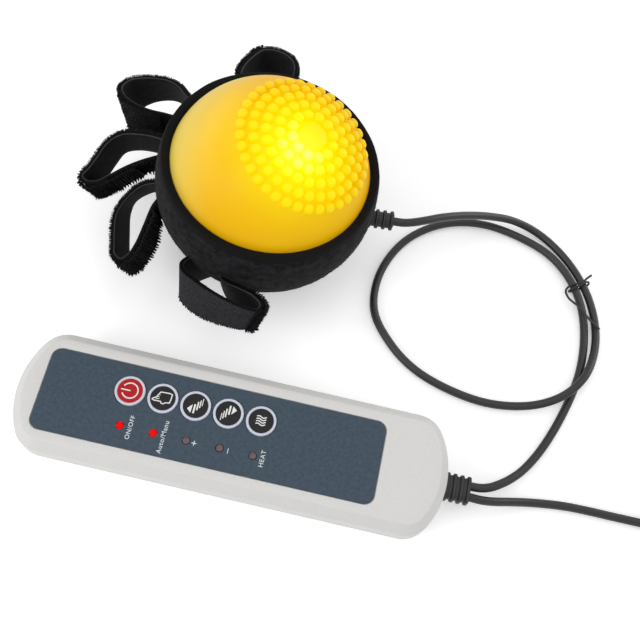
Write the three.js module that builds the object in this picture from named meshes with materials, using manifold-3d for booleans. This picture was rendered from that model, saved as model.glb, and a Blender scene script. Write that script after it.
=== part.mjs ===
// A wired massage ball for hand and finger training, with its control handset.
// Millimetres, +Z up. The origin is on the table under the ball's upright axis. +X runs along the handset.
import * as THREE from "three";
import { mergeVertices } from "three/addons/utils/BufferGeometryUtils.js";
import Module from "manifold-3d";

const wasm = await Module();
wasm.setup();

const degrees = THREE.MathUtils.degToRad;
const toDegrees = THREE.MathUtils.radToDeg;
const fullTurn = 2 * Math.PI;

// Fits shared by the whole object
const fit = 0.3; // clearance between neighbouring pieces
const overrun = 2; // how far a cutting solid runs past what it cuts
const evenness = 0.02; // faces closer to one plane than this are made one
const sameSpot = 1e-4; // points nearer than this are one point

// Ball
const ballRadius = 44.5; // outside of the yellow ball
const domeWall = 2.8; // soft upper half
const shellWall = 2.4; // hard lower half
const splitDepth = 3; // the halves meet this far below the ball's centre
const clampLip = 2.8; // how far the dome's clamped bead and the shell's ledge stand inwards
const clampThickness = 1.5; // height of that bead and of that ledge
const plateThickness = 2;
const ballSides = 28; // faces round every large turned piece
const domeRows = 8;
const innerRows = 6;
const roundSides = 16; // faces round middle-sized turned pieces
const smallSides = 8; // faces round small turned pieces

// Nubs on the dome, in rings about a smooth spot
const nubRadius = 2.1;
const nubHeight = 2.6; // above the dome
const nubRoot = 0.8; // sunk in the dome
const nubSides = 5;
const nubTopShare = 0.6; // flat top's radius, as a share of the nub's
const nubRings = 5;
const nubsPerRingStep = 6; // the first ring has two steps of nubs, and each next ring one step more
const firstRingArc = 8.9; // along the dome, from the spot's middle to the first ring
const ringStepArc = 4.9; // along the dome, from ring to ring
const spotRadius = 5.9;
const spotHeight = 1.1;
const nubTilt = degrees(22.2); // the spot's lean from upright
const nubAzimuth = degrees(-2);

// Fabric cover
const coverWall = 3.2;
const restRadius = 8; // flat on which the cup stands
const rimAngle = degrees(70.6); // from the mouth's axis to the cup's mouth
const rimTilt = degrees(5); // the mouth's axis, from upright
const rimAzimuth = degrees(18);
const bindingWidth = 3.4; // along the cup's wall
const bindingProud = 0.3; // outside the cup's wall
const strapWidth = 18;
const strapThickness = 2;
const hookThickness = 0.8;
const hookClearance = 0.4; // between a strap and its hook tape
const strapStations = 20; // places along a strap's centre line, counted from its first root

// How far each finger loop reaches away from the cup, and how broad it lies along the cup
const backLoopReach = 29;
const backLoopBreadth = 25.5;
const backLeftLoopReach = 37;
const backLeftLoopBreadth = 22;
const leftLoopReach = 31;
const leftLoopBreadth = 32;
const frontLeftLoopReach = 21;
const frontLeftLoopBreadth = 31;
const frontLoopReach = 19;
const frontLoopBreadth = 40;

// Finger loops. Azimuth and latitude place a loop's root on the cup, and the normal of the plane that it is
// drawn in leans by lean towards leanAzimuth. The strap's upper and lower edges run from root to root, as
// shares of its reach and breadth. The lower edge's third share is how far it hangs, of half the strap's
// width: an obliquely folded strap hangs less at its fold.
const fingerLoops = [
  {
    azimuth: degrees(98), latitude: degrees(-10),
    lean: degrees(15), leanAzimuth: degrees(101),
    reach: backLoopReach, breadth: backLoopBreadth,
    hookStations: [12, 18],
    upperShares: [
      [-0.1, -0.2], [0.26, -0.27], [0.55, -0.3], [0.74, -0.25], [0.88, -0.13], [0.97, 0.04], [1, 0.22],
      [0.95, 0.38], [0.82, 0.49], [0.58, 0.63], [0.29, 0.71], [-0.1, 0.68],
    ],
    lowerShares: [
      [-0.1, -0.2, 1], [0.26, -0.27, 1], [0.55, -0.3, 1], [0.74, -0.25, 1], [0.88, -0.13, 1],
      [0.97, 0.04, 1], [1, 0.22, 1], [0.95, 0.38, 1], [0.82, 0.49, 1], [0.58, 0.63, 1], [0.29, 0.71, 1],
      [-0.1, 0.68, 1],
    ],
  },
  {
    azimuth: degrees(146), latitude: degrees(-10),
    lean: degrees(17), leanAzimuth: degrees(119),
    reach: backLeftLoopReach, breadth: backLeftLoopBreadth,
    hookStations: [12, 17],
    upperShares: [
      [-0.08, -0.09], [0.24, -0.17], [0.46, -0.26], [0.65, -0.23], [0.8, -0.09], [0.92, 0.09], [1, 0.32],
      [0.98, 0.56], [0.9, 0.7], [0.71, 0.78], [0.5, 0.76], [0.34, 0.69], [0.17, 0.56], [0, 0.44],
      [-0.1, 0.3],
    ],
    lowerShares: [
      [-0.08, -0.12, 1], [0.48, -0.54, 1], [0.78, -0.52, 1], [0.95, -0.22, 1], [0.99, 0.2, 1],
      [0.93, 0.55, 1], [0.82, 0.66, 1], [0.62, 0.68, 1], [0.4, 0.56, 1], [0.18, 0.36, 1], [-0.1, 0.28, 1],
    ],
  },
  {
    azimuth: degrees(172), latitude: degrees(-10),
    lean: degrees(18), leanAzimuth: degrees(213),
    reach: leftLoopReach, breadth: leftLoopBreadth,
    hookStations: [12, 18],
    upperShares: [
      [-0.1, -0.12], [0.19, -0.13], [0.44, -0.1], [0.63, -0.05], [0.76, 0.05], [0.84, 0.19], [0.88, 0.37],
      [0.93, 0.56], [0.98, 0.71], [0.87, 0.78], [0.68, 0.73], [0.56, 0.62], [0.38, 0.44], [0.19, 0.29],
      [-0.1, 0.11],
    ],
    lowerShares: [
      [-0.1, -0.13, 1], [0.33, -0.12, 1], [0.64, -0.08, 1], [0.84, 0.02, 1], [0.92, 0.26, 1],
      [0.97, 0.54, 1], [0.97, 0.72, 1], [0.86, 0.66, 1], [0.68, 0.5, 1], [0.4, 0.22, 1], [-0.14, 0.04, 1],
    ],
  },
  {
    azimuth: degrees(203), latitude: degrees(-10),
    lean: degrees(25), leanAzimuth: degrees(216),
    reach: frontLeftLoopReach, breadth: frontLeftLoopBreadth,
    hookStations: [12, 18],
    upperShares: [
      [-0.3, -0.19], [0.1, -0.23], [0.38, -0.17], [0.63, -0.06], [0.81, 0.08], [0.9, 0.28], [0.95, 0.5],
      [0.97, 0.65], [0.83, 0.76], [0.63, 0.73], [0.42, 0.6], [0.17, 0.36], [-0.08, 0.12], [-0.4, -0.02],
    ],
    lowerShares: [
      [-0.3, -0.26, 1], [0.24, -0.38, 1], [0.73, -0.32, 1], [0.91, -0.15, 1], [1, 0.14, 1],
      [1.06, 0.44, 1], [1.05, 0.69, 1], [0.77, 0.63, 1], [0.46, 0.4, 1], [0.26, 0.09, 1],
      [-0.35, -0.08, 1],
    ],
  },
  {
    azimuth: degrees(247), latitude: degrees(-20),
    lean: degrees(31), leanAzimuth: degrees(78),
    reach: frontLoopReach, breadth: frontLoopBreadth,
    hookStations: [13, 18],
    upperShares: [
      [-0.3, 0.02], [0.15, -0.06], [0.45, -0.12], [0.75, -0.09], [0.92, 0.02], [0.96, 0.2], [0.98, 0.4],
      [0.94, 0.6], [0.84, 0.77], [0.68, 0.88], [0.45, 0.85], [0.32, 0.7], [0.37, 0.53], [0.44, 0.36],
      [0.02, 0.11],
    ],
    lowerShares: [
      [-1.04, -0.03, 1], [-0.03, -0.11, 1], [0.55, -0.06, 1], [0.75, 0.09, 1], [0.78, 0.31, 1],
      [0.69, 0.55, 0.85], [0.58, 0.75, 0.6], [0.44, 0.8, 0.42], [0.19, 0.56, 0.6], [-0.21, 0.27, 0.75],
      [-0.95, -0.08, 0.85],
    ],
  },
];

// Inside the ball
const motorRadius = 10;
const motorLength = 24;
const motorWall = 1.4;
const shaftRadius = 1;
const weightRadius = 11;
const weightThickness = 6;
const hubRadius = 3;
const postRadius = 3.6; // screw posts
const postCircle = 30; // radius of the circle that they stand on
const postCount = 3;
const screwShankRadius = 1.2;
const screwHeadRadius = 2.5;
const screwHeadHeight = 1.6;
const screwLength = 8;
const boardThickness = 1.6;
const lampBoardRadius = 20;
const lampBoardHeight = 12; // above the ball's centre
const lampRadius = 2.5;
const lampHeight = 7;
const lampFlange = 0.4; // beyond the lamp's own radius
const lampFlangeHeight = 0.9;
const lampCircle = 7;
const lampCount = 3;
const cutoutLength = 9; // thermal cut-out
const cutoutWidth = 4;
const cutoutHeight = 3;
const filmThickness = 0.5;
const filmRows = 3;
const filmClearance = 0.95; // under the dome, whose faces are flat between its rows
const filmInnerAngle = degrees(14);
const filmOuterAngle = degrees(36);

// Cords and their strain reliefs
const cordRadius = 1.9;
const cordSides = 8;
const ballCordSteps = 64;
const adapterCordSteps = 24;
const wireRadius = 0.5; // wire tie round the ball's cord
const wireSides = 5;
const wireSteps = 44;
const ballReliefHeight = 30; // of the relief's axis above the table
const ballReliefAzimuth = degrees(4.9);
const ballReliefRadius = 4.4; // over its ribs
const ballReliefProud = 13.1; // how far it stands out of the cup's wall
const reliefNeck = 3.5;
const reliefSides = 12;
const reliefRibs = 4;
const handReliefWidth = 12;
const handReliefHeight = 8;
const handReliefLength = 11; // outside the case
const handReliefCorner = 2;
const ribDepth = 0.6; // the handset relief's grooves, below its ribs
const slotOverrun = 6.6; // how much longer than the case's wall is thick the relief's slot is cut

// Handset
const handsetX = 10.7; // its middle
const handsetY = -103.8;
const handsetLength = 184;
const handsetWidth = 52;
const handsetHeight = 21;
const bowRadius = 40; // of each rounded end
const bowSteps = 6;
const cornerRadius = 12;
const cornerSteps = 3;
const partingHeight = 9.5;
const caseWall = 2.2;
const topChamfer = 3.6;
const undersideTaper = 4;
const taperHeight = 8; // height of the sloping underside
const overlayLength = 144;
const overlayWidth = 35.6;
const overlayThickness = 0.6;
const overlayCorner = 4.2;
const overlayShift = -9.4; // of the overlay's middle from the handset's
const keyCount = 5;
const keyPitch = 14;
const keyRowShift = -17.5; // of the middle key from the handset's middle
const keyRowOffset = 6.3; // of the keys from the handset's centre line
const keyRadius = 6.4;
const keyProud = 0.7; // above the overlay
const keyTravel = 0.4;
const keyStemRadius = 1.6;
const ledOffset = 8.7; // of the status lamps from the centre line
const ledRadius = 1.5;
const boardDepth = 9; // underside of the handset's circuit board, below the case's top
const boardEndDistance = 28; // from the board's end to the case's
const boardWidth = 38;
const switchSize = 6;
const switchBody = 3.4;
const switchStem = 0.6;
const switchStemRadius = 1.6;
const caseScrewEndDistance = 18; // from the case's end
const caseScrewSideDistance = 11; // from the case's long side
const caseBossRadius = 3.6;

// Adapter cord's stored coil and plug
const coilX = 226; // its middle
const coilTurnsPerLayer = 4;
const coilLayers = 2;
const coilMeanRadius = 21;
const windingGap = 0.45; // between neighbouring turns
const coilTail = 22; // straight run from the last turn to the plug
const coilTailShares = [0.3, 0.65, 0.84, 1]; // places along that run
const coilLastTurnShare = 0.25; // of a turn, after the last whole one
const climbTurns = 0.25; // turns on each side of the middle, over which the coil climbs a layer
const coilSteps = 24; // per turn
const coilSides = 6;
const tieThickness = 0.5;
const tieWidth = 5;
const plugRadius = 5;
const plugLength = 24;
const plugNoseRadius = 3.5; // where the grip's nose meets its taper
const plugNoseLength = 7.2;
const plugTaper = 1.4; // length of the taper after the nose
const plugSides = 16;
const barrelSides = 12;
const barrelRadius = 2.75;
const barrelLength = 9.5;
const barrelBore = 1.1;

// Derived places
const coverRadius = ballRadius + fit + coverWall;
const ballCentre = Math.sqrt(coverRadius ** 2 - restRadius ** 2);
const plateBottom = clampThickness + fit - splitDepth; // above the ball's centre
const plateTop = plateBottom + plateThickness;
const reliefDrop = ballCentre - ballReliefHeight; // of the ball relief's axis below the ball's centre
const reliefWallReach = Math.sqrt(coverRadius ** 2 - reliefDrop ** 2); // of the cup's face, from the axis
const boardLevel = handsetHeight - boardDepth;
const boardLength = handsetLength - 2 * boardEndDistance;
const caseScrewX = handsetLength / 2 - caseScrewEndDistance;
const caseScrewY = handsetWidth / 2 - caseScrewSideDistance;

// Turns a surface into a solid that can be cut and joined, and back
function solid(geometry) {
  const bare = geometry.index ? geometry.toNonIndexed() : geometry.clone();
  bare.deleteAttribute("normal");
  bare.deleteAttribute("uv");
  const merged = mergeVertices(bare, sameSpot);
  return new wasm.Manifold(
    new wasm.Mesh({
      numProp: 3,
      vertProperties: merged.attributes.position.array,
      triVerts: new Uint32Array(merged.index.array),
    }),
  );
}

function geometryOf(body) {
  const mesh = body.asOriginal().simplify(evenness).getMesh();
  const geometry = new THREE.BufferGeometry();
  geometry.setAttribute("position", new THREE.BufferAttribute(new Float32Array(mesh.vertProperties), 3));
  geometry.setIndex(new THREE.BufferAttribute(new Uint32Array(mesh.triVerts), 1));
  return geometry;
}

const join = (first, ...others) => others.reduce((all, next) => all.add(next), first);
const cut = (first, ...others) => others.reduce((all, next) => all.subtract(next), first);

// A turned solid about Z. Its profile is [radius, height] pairs, bottom of the axis first.
function turned(profile, sides) {
  const points = profile.map(([radius, height]) => new THREE.Vector2(radius, height));
  return solid(new THREE.LatheGeometry(points, sides).rotateX(Math.PI / 2));
}

const cylinder = (radius, low, high, sides) =>
  turned([[0, low], [radius, low], [radius, high], [0, high]], sides);

function block(sizeX, sizeY, low, high) {
  return solid(new THREE.BoxGeometry(sizeX, sizeY, high - low).translate(0, 0, (low + high) / 2));
}

function place(body, x, y, z) {
  return body.translate([x, y, z]);
}

// Points of a sphere's outline, from one polar angle to another, as [radius, height] pairs
function arc(radius, fromAngle, toAngle, steps) {
  return Array.from({ length: steps + 1 }, (_, i) => {
    const angle = fromAngle + ((toAngle - fromAngle) * i) / steps;
    return [Math.max(radius * Math.sin(angle), 0), radius * Math.cos(angle)];
  });
}

const upright = (body) => place(body, 0, 0, ballCentre);
const angleAtHeight = (radius, height) => Math.acos(height / radius);

// The soft dome: a shell with a clamped bead at its foot, the smooth spot and the rings of nubs
function massageDome() {
  const inner = ballRadius - domeWall;
  const foot = -splitDepth;
  const bead = foot + clampThickness;
  const outline = [
    ...arc(inner, 0, angleAtHeight(inner, bead), innerRows),
    [inner - clampLip, bead],
    [inner - clampLip, foot],
    ...arc(ballRadius, angleAtHeight(ballRadius, foot), 0, domeRows),
  ];
  const shell = turned(outline, ballSides);
  const bump = (radius, height, sides) =>
    turned(
      [
        [0, ballRadius - nubRoot],
        [radius, ballRadius - nubRoot],
        [radius * nubTopShare, ballRadius + height],
        [0, ballRadius + height],
      ],
      sides,
    );
  const nub = bump(nubRadius, nubHeight, nubSides);
  const spot = bump(spotRadius, spotHeight, roundSides);
  const nubs = [spot];
  for (let ring = 0; ring < nubRings; ring += 1) {
    const count = nubsPerRingStep * (ring + 2);
    const lean = (firstRingArc + ringStepArc * ring) / ballRadius;
    for (let i = 0; i < count; i += 1) {
      nubs.push(nub.rotate([0, toDegrees(lean), toDegrees((fullTurn * i) / count)]));
    }
  }
  const field = wasm.Manifold.union(nubs).rotate([0, toDegrees(nubTilt), toDegrees(nubAzimuth)]);
  return upright(shell.add(field));
}

// The hard lower half: ledge at its mouth, screw posts, and a stepped post that holds the motor
function lowerShell() {
  const inner = ballRadius - shellWall;
  const mouth = -splitDepth - fit;
  const ledge = mouth - clampThickness;
  const innerTop = angleAtHeight(inner, ledge);
  const outline = [
    ...arc(ballRadius, Math.PI, angleAtHeight(ballRadius, mouth), innerRows),
    [ballRadius - domeWall - clampLip, mouth],
    [ballRadius - domeWall - clampLip, ledge],
    ...arc(inner, innerTop, Math.PI, innerRows),
  ];
  const shell = turned(outline, ballSides);
  const cradleFloor = plateBottom - fit - motorLength - fit;
  const cradle = cylinder(motorRadius + fit + shellWall, -inner, cradleFloor + motorLength / 3, roundSides);
  const pocket = cylinder(motorRadius + fit, cradleFloor, overrun, roundSides);
  const relief = cylinder(motorRadius - shellWall, -inner + shellWall, overrun, roundSides);
  const posts = [];
  const holes = [];
  for (let i = 0; i < postCount; i += 1) {
    const turn = (fullTurn * (i + 0.5)) / postCount;
    const x = postCircle * Math.cos(turn);
    const y = postCircle * Math.sin(turn);
    const postFoot = -Math.sqrt(inner ** 2 - (postCircle + postRadius) ** 2) - shellWall / 2;
    const hole = cylinder(screwShankRadius + fit, plateBottom - screwLength - fit, overrun, smallSides);
    posts.push(place(cylinder(postRadius, postFoot, plateBottom - fit, smallSides), x, y, 0));
    holes.push(place(hole, x, y, 0));
  }
  const ballSolid = turned(arc(ballRadius, Math.PI, 0, 2 * innerRows), ballSides);
  const body = join(shell, cradle.intersect(ballSolid), ...posts);
  return upright(cut(body, pocket, relief, ...holes)).subtract(reliefBore());
}

// Clear way for the ball's strain relief through shell and cover
function reliefBore() {
  const bore = cylinder(reliefNeck + fit, coverRadius / 2, coverRadius + overrun, reliefSides);
  return alongRelief(bore);
}

// Turns a solid made about Z to lie along the ball's strain relief
function alongRelief(body) {
  const lying = body.rotate([0, 90, toDegrees(ballReliefAzimuth)]);
  return place(lying, 0, 0, ballReliefHeight);
}

// Plate that clamps the dome's bead, carries the lamp board on pillars and closes the motor's pocket
function mountingPlate() {
  const plate = cylinder(ballRadius - domeWall - 2 * fit, plateBottom, plateTop, ballSides);
  const pillars = [];
  const holes = [cylinder(shaftRadius + overrun, plateBottom - overrun, plateTop + overrun, smallSides)];
  for (let i = 0; i < postCount; i += 1) {
    const screwTurn = (fullTurn * (i + 0.5)) / postCount;
    const x = Math.cos(screwTurn);
    const y = Math.sin(screwTurn);
    const hole = cylinder(screwShankRadius + fit, plateBottom - overrun, plateTop + overrun, smallSides);
    holes.push(place(hole, postCircle * x, postCircle * y, 0));
    const pillarCircle = lampBoardRadius - screwHeadRadius;
    const pillarFoot = plateBottom + plateThickness / 2;
    const pillar = cylinder(screwHeadRadius, pillarFoot, lampBoardHeight - fit, smallSides);
    pillars.push(place(pillar, pillarCircle * x, pillarCircle * y, 0));
  }
  return upright(cut(join(plate, ...pillars), ...holes));
}

// A screw that hangs from height zero by its head
function screw(shankLength) {
  const outline = [
    [0, -shankLength],
    [screwShankRadius, -shankLength],
    [screwShankRadius, 0],
    [screwHeadRadius, 0],
    [screwHeadRadius / 2, screwHeadHeight],
    [0, screwHeadHeight],
  ];
  return turned(outline, smallSides);
}

function ballScrew(index) {
  const turn = (fullTurn * (index + 0.5)) / postCount;
  const x = postCircle * Math.cos(turn);
  const y = postCircle * Math.sin(turn);
  return upright(place(screw(screwLength), x, y, plateTop + fit));
}

// Film that warms the nubs, lying under the dome about the smooth spot
function heatingFilm() {
  const outer = ballRadius - domeWall - filmClearance;
  const outline = [
    ...arc(outer - filmThickness, filmInnerAngle, filmOuterAngle, filmRows),
    ...arc(outer, filmOuterAngle, filmInnerAngle, filmRows),
  ];
  outline.push(outline[0]);
  const tilt = [0, toDegrees(nubTilt), toDegrees(nubAzimuth)];
  return upright(turned(outline, roundSides).rotate(tilt));
}

function lampBoard() {
  return upright(cylinder(lampBoardRadius, lampBoardHeight, lampBoardHeight + boardThickness, roundSides));
}

// A round-topped lamp standing on height zero, with its flange
function lamp(radius, height) {
  const outline = [
    [0, 0],
    [radius + lampFlange, 0],
    [radius + lampFlange, lampFlangeHeight],
    [radius, lampFlangeHeight],
    [radius, height - radius / 2],
    [radius / 2, height],
    [0, height],
  ];
  return turned(outline, smallSides);
}

function glowLamp(index) {
  const turn = (fullTurn * index) / lampCount;
  const body = lamp(lampRadius, lampHeight);
  const seat = lampBoardHeight + boardThickness + fit;
  return upright(place(body, lampCircle * Math.cos(turn), lampCircle * Math.sin(turn), seat));
}

function thermalCutout() {
  const seat = lampBoardHeight + boardThickness + fit;
  const body = block(cutoutWidth, cutoutLength, seat, seat + cutoutHeight);
  return upright(place(body, -lampBoardRadius + cutoutWidth, 0, 0));
}

const motorTop = plateBottom - fit;
const motorCapTop = motorTop - motorLength + motorWall;

function motorCan() {
  const outline = [
    [motorRadius - motorWall, motorCapTop + fit],
    [motorRadius, motorCapTop + fit],
    [motorRadius, motorTop],
    [shaftRadius + fit, motorTop],
    [shaftRadius + fit, motorTop - motorWall],
    [motorRadius - motorWall, motorTop - motorWall],
    [motorRadius - motorWall, motorCapTop + fit],
  ];
  return upright(turned(outline, roundSides));
}

function motorEndCap() {
  const cap = cylinder(motorRadius, motorTop - motorLength, motorCapTop, roundSides);
  const low = motorCapTop - motorWall / 2;
  const boss = cylinder(motorWall * 2, low, motorCapTop + motorWall, smallSides);
  const hole = cylinder(shaftRadius + fit, low, motorCapTop + motorWall * 2, smallSides);
  return upright(join(cap, boss).subtract(hole));
}

// Shaft with the wound armature on it
function motorShaft() {
  const armature = motorRadius - motorWall - 2 * fit - screwShankRadius;
  const low = motorCapTop + motorWall * 2;
  const high = motorTop - motorWall * 2;
  const outline = [
    [0, motorCapTop],
    [shaftRadius, motorCapTop],
    [shaftRadius, low],
    [armature, low],
    [armature, high],
    [shaftRadius, high],
    [shaftRadius, plateTop + overrun + weightThickness],
    [0, plateTop + overrun + weightThickness],
  ];
  return upright(turned(outline, smallSides));
}

// Half-round weight with a full hub
function eccentricWeight() {
  const low = plateTop + overrun / 2;
  const high = low + weightThickness;
  const disc = cylinder(weightRadius, low, high, roundSides);
  const across = 2 * (weightRadius + overrun);
  const half = block(across, across, low - overrun, high + overrun);
  const hub = cylinder(hubRadius, low, high, smallSides);
  const bore = cylinder(shaftRadius + fit, low - overrun, high + overrun, smallSides);
  return upright(cut(join(disc.subtract(place(half, 0, across / 2, 0)), hub), bore));
}

// The ribbed strain relief of the ball's cord, with its flange inside the shell
function ballStrainRelief() {
  const drop = reliefDrop + reliefNeck + overrun;
  const innerWall = Math.sqrt((ballRadius - shellWall) ** 2 - drop ** 2);
  const flangeEnd = innerWall - 2 * fit;
  const outerEnd = reliefWallReach + ballReliefProud;
  const ribStart = reliefWallReach + 2 * fit + overrun / 2;
  const pitch = (outerEnd - ribStart) / (reliefRibs * 2 - 1);
  const outline = [
    [0, flangeEnd - shellWall],
    [reliefNeck + overrun, flangeEnd - shellWall],
    [reliefNeck + overrun, flangeEnd],
    [reliefNeck, flangeEnd],
  ];
  for (let rib = 0; rib < reliefRibs; rib += 1) {
    const start = ribStart + pitch * 2 * rib;
    outline.push([reliefNeck, start], [ballReliefRadius, start], [ballReliefRadius, start + pitch]);
    outline.push([reliefNeck, start + pitch]);
  }
  outline.push([0, outerEnd]);
  return alongRelief(turned(outline, reliefSides));
}

// Leans a turned body with the cup's mouth, which dips towards the cord, without a twist
function leanWithMouth(body) {
  const turn = toDegrees(rimAzimuth);
  return body.rotate([0, 0, -turn]).rotate([0, toDegrees(rimTilt), turn]);
}

// The fabric cup that holds the ball, flat where it stands and open above its leaning mouth
function coverCup() {
  const inner = ballRadius + fit;
  const bandAngle = bindingWidth / coverRadius;
  const mouth = rimAngle + bandAngle + fit / coverRadius;
  const wallEnd = mouth - rimTilt - bandAngle;
  const reach = 2 * coverRadius;
  const opening = [
    [0, 0],
    [reach * Math.sin(mouth), reach * Math.cos(mouth)],
    [reach * Math.sin(mouth), reach],
    [0, reach],
  ];
  const seam = angleAtHeight(ballRadius, -splitDepth - fit);
  const restAngle = Math.PI - Math.asin(restRadius / coverRadius);
  const outline = [
    [0, -ballCentre],
    ...arc(coverRadius, restAngle, wallEnd, domeRows),
    ...arc(inner, wallEnd, seam, 4).slice(0, -1),
    ...arc(inner, seam, Math.PI, innerRows),
  ];
  const cup = turned(outline, ballSides).subtract(leanWithMouth(turned(opening, ballSides)));
  return upright(cup).subtract(reliefBore());
}

// The plain band sewn round the cup's mouth
function rimBinding() {
  const inner = ballRadius + fit;
  const outer = coverRadius + bindingProud;
  const middle = (inner + outer) / 2;
  const low = rimAngle + bindingWidth / coverRadius;
  const edge = (low - rimAngle) / 4;
  const outline = [
    [middle * Math.sin(rimAngle), middle * Math.cos(rimAngle)],
    ...arc(inner, rimAngle + edge, low, 1),
    ...arc(outer, low, rimAngle + edge, 1),
  ];
  outline.push(outline[0]);
  return upright(leanWithMouth(turned(outline, ballSides)));
}

// A band that follows a loop between two of its stations, from one distance outside its middle to another
function fingerBand(finger, fromOffset, toOffset, first, last) {
  const normal = new THREE.Vector3(
    Math.sin(finger.lean) * Math.cos(finger.leanAzimuth),
    Math.sin(finger.lean) * Math.sin(finger.leanAzimuth),
    Math.cos(finger.lean),
  );
  const radial = new THREE.Vector3(Math.cos(finger.azimuth), Math.sin(finger.azimuth), 0);
  const out = radial.clone().addScaledVector(normal, -radial.dot(normal)).normalize();
  const side = new THREE.Vector3().crossVectors(normal, out);
  const root = radial.clone().multiplyScalar(coverRadius * Math.cos(finger.latitude));
  root.z = ballCentre + coverRadius * Math.sin(finger.latitude);
  const inPlace = new THREE.Matrix4().makeBasis(out, side, normal).setPosition(root);
  const edge = (shares) =>
    new THREE.CatmullRomCurve3(
      shares.map(([outShare, sideShare, hang = -1]) => {
        const height = (-hang * strapWidth) / 2;
        return new THREE.Vector3(outShare * finger.reach, sideShare * finger.breadth, height);
      }),
    );
  const upper = edge(finger.upperShares);
  const lower = edge(finger.lowerShares);
  const beside = (line, share, offset) => {
    const along = line.getTangent(share);
    const outward = new THREE.Vector3(along.y, -along.x, 0).normalize();
    return line.getPoint(share).addScaledVector(outward, offset).applyMatrix4(inPlace).toArray();
  };
  const rings = [];
  for (let station = first; station <= last; station += 1) {
    const share = station / strapStations;
    rings.push([
      beside(upper, share, toOffset),
      beside(lower, share, toOffset),
      beside(lower, share, fromOffset),
      beside(upper, share, fromOffset),
    ]);
  }
  const cupSpace = upright(turned(arc(coverRadius + 2 * fit, Math.PI, 0, 2 * domeRows), ballSides));
  return loft(rings).subtract(cupSpace);
}

const fingerStrap = (finger) => fingerBand(finger, -strapThickness / 2, strapThickness / 2, 0, strapStations);

function fingerHook(finger) {
  const inside = strapThickness / 2 + hookClearance;
  return fingerBand(finger, inside, inside + hookThickness, finger.hookStations[0], finger.hookStations[1]);
}

// Points along a flat arc, without its last
function flatArc(centreX, centreY, radius, fromAngle, toAngle, steps) {
  return Array.from({ length: steps }, (_, i) => {
    const angle = fromAngle + ((toAngle - fromAngle) * i) / steps;
    return [centreX + radius * Math.cos(angle), centreY + radius * Math.sin(angle)];
  });
}

// The handset's outline seen from above, drawn in by inset: straight sides, bowed ends, rounded corners
function handsetOutline(inset) {
  const halfWidth = handsetWidth / 2 - inset;
  const endRadius = bowRadius - inset;
  const corner = cornerRadius - inset;
  const endCentre = handsetLength / 2 - bowRadius;
  const cornerX = endCentre + Math.sqrt((endRadius - corner) ** 2 - (halfWidth - corner) ** 2);
  const cornerY = halfWidth - corner;
  const meet = Math.atan2(cornerY, cornerX - endCentre);
  const rightEnd = [
    ...flatArc(cornerX, -cornerY, corner, -Math.PI / 2, -meet, cornerSteps),
    ...flatArc(endCentre, 0, endRadius, -meet, meet, bowSteps),
    ...flatArc(cornerX, cornerY, corner, meet, Math.PI / 2, cornerSteps),
    [cornerX, halfWidth],
  ];
  return [...rightEnd, ...rightEnd.map(([x, y]) => [-x, -y])];
}

// The handset's outer or inner form between two heights, chamfered above and tapered below
function handsetForm(inset, low, high) {
  const ring = (extra, height) => handsetOutline(inset + extra).map(([x, y]) => [x, y, height]);
  const top = handsetHeight - inset;
  const bottom = inset;
  const levels = [
    [undersideTaper, bottom],
    [0, bottom + taperHeight],
    [0, top - topChamfer],
    [topChamfer, top],
  ];
  const rings = levels.map(([extra, height]) => ring(extra, height));
  const form = loft(rings);
  return form.intersect(block(handsetLength * 2, handsetWidth * 2, low, high));
}

// A solid through closed rings of as many points each, lowest first. Both long sides of a thin band are split
// into triangles the same way, so that bands laid over each other stay apart.
function loft(rings) {
  const count = rings[0].length;
  const positions = rings.flat(2);
  const faces = [];
  rings.slice(1).forEach((_, level) => {
    const low = level * count;
    const high = low + count;
    for (let i = 0; i < count; i += 1) {
      const next = (i + 1) % count;
      if (i < count / 2) {
        faces.push(low + i, low + next, high + next, low + i, high + next, high + i);
      } else {
        faces.push(low + i, low + next, high + i, low + next, high + next, high + i);
      }
    }
  });
  const lid = (rings.length - 1) * count;
  for (let i = 1; i < count - 1; i += 1) {
    faces.push(0, i + 1, i, lid, lid + i, lid + i + 1);
  }
  const geometry = new THREE.BufferGeometry();
  geometry.setAttribute("position", new THREE.Float32BufferAttribute(positions, 3));
  geometry.setIndex(faces);
  return solid(geometry);
}

const inHandset = (body) => place(body, handsetX, handsetY, 0);
const keyX = (index) => keyRowShift + (index - (keyCount - 1) / 2) * keyPitch;
const overlaySeat = handsetHeight - overlayThickness;
const caseScrewPlaces = [-1, 1].flatMap((sx) => [-1, 1].map((sy) => [sx * caseScrewX, sy * caseScrewY]));

function roundedBlock(sizeX, sizeY, radius, low, high, curveSegments) {
  const x = sizeX / 2 - radius;
  const y = sizeY / 2 - radius;
  const shape = new THREE.Shape();
  shape.absarc(x, -y, radius, -Math.PI / 2, 0, false);
  shape.absarc(x, y, radius, 0, Math.PI / 2, false);
  shape.absarc(-x, y, radius, Math.PI / 2, Math.PI, false);
  shape.absarc(-x, -y, radius, Math.PI, (3 * Math.PI) / 2, false);
  const slab = new THREE.ExtrudeGeometry(shape, { depth: high - low, bevelEnabled: false, curveSegments });
  return solid(slab.translate(0, 0, low));
}

// Ways through the case and the overlay for the keys and the status lamps
function faceHoles(low, high) {
  const holes = [];
  for (let i = 0; i < keyCount; i += 1) {
    holes.push(place(cylinder(keyRadius + fit, low, high, roundSides), keyX(i), keyRowOffset, 0));
    holes.push(place(cylinder(ledRadius + fit, low, high, smallSides), keyX(i), -ledOffset, 0));
  }
  return holes;
}

function reliefSlot() {
  const width = handReliefWidth - 2 * ribDepth + 2 * fit;
  const height = handReliefHeight - 2 * ribDepth + 2 * fit;
  const slot = block(caseWall + slotOverrun, width, partingHeight - height / 2, partingHeight + height / 2);
  return place(slot, handsetLength / 2 - caseWall / 2, 0, 0);
}

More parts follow.
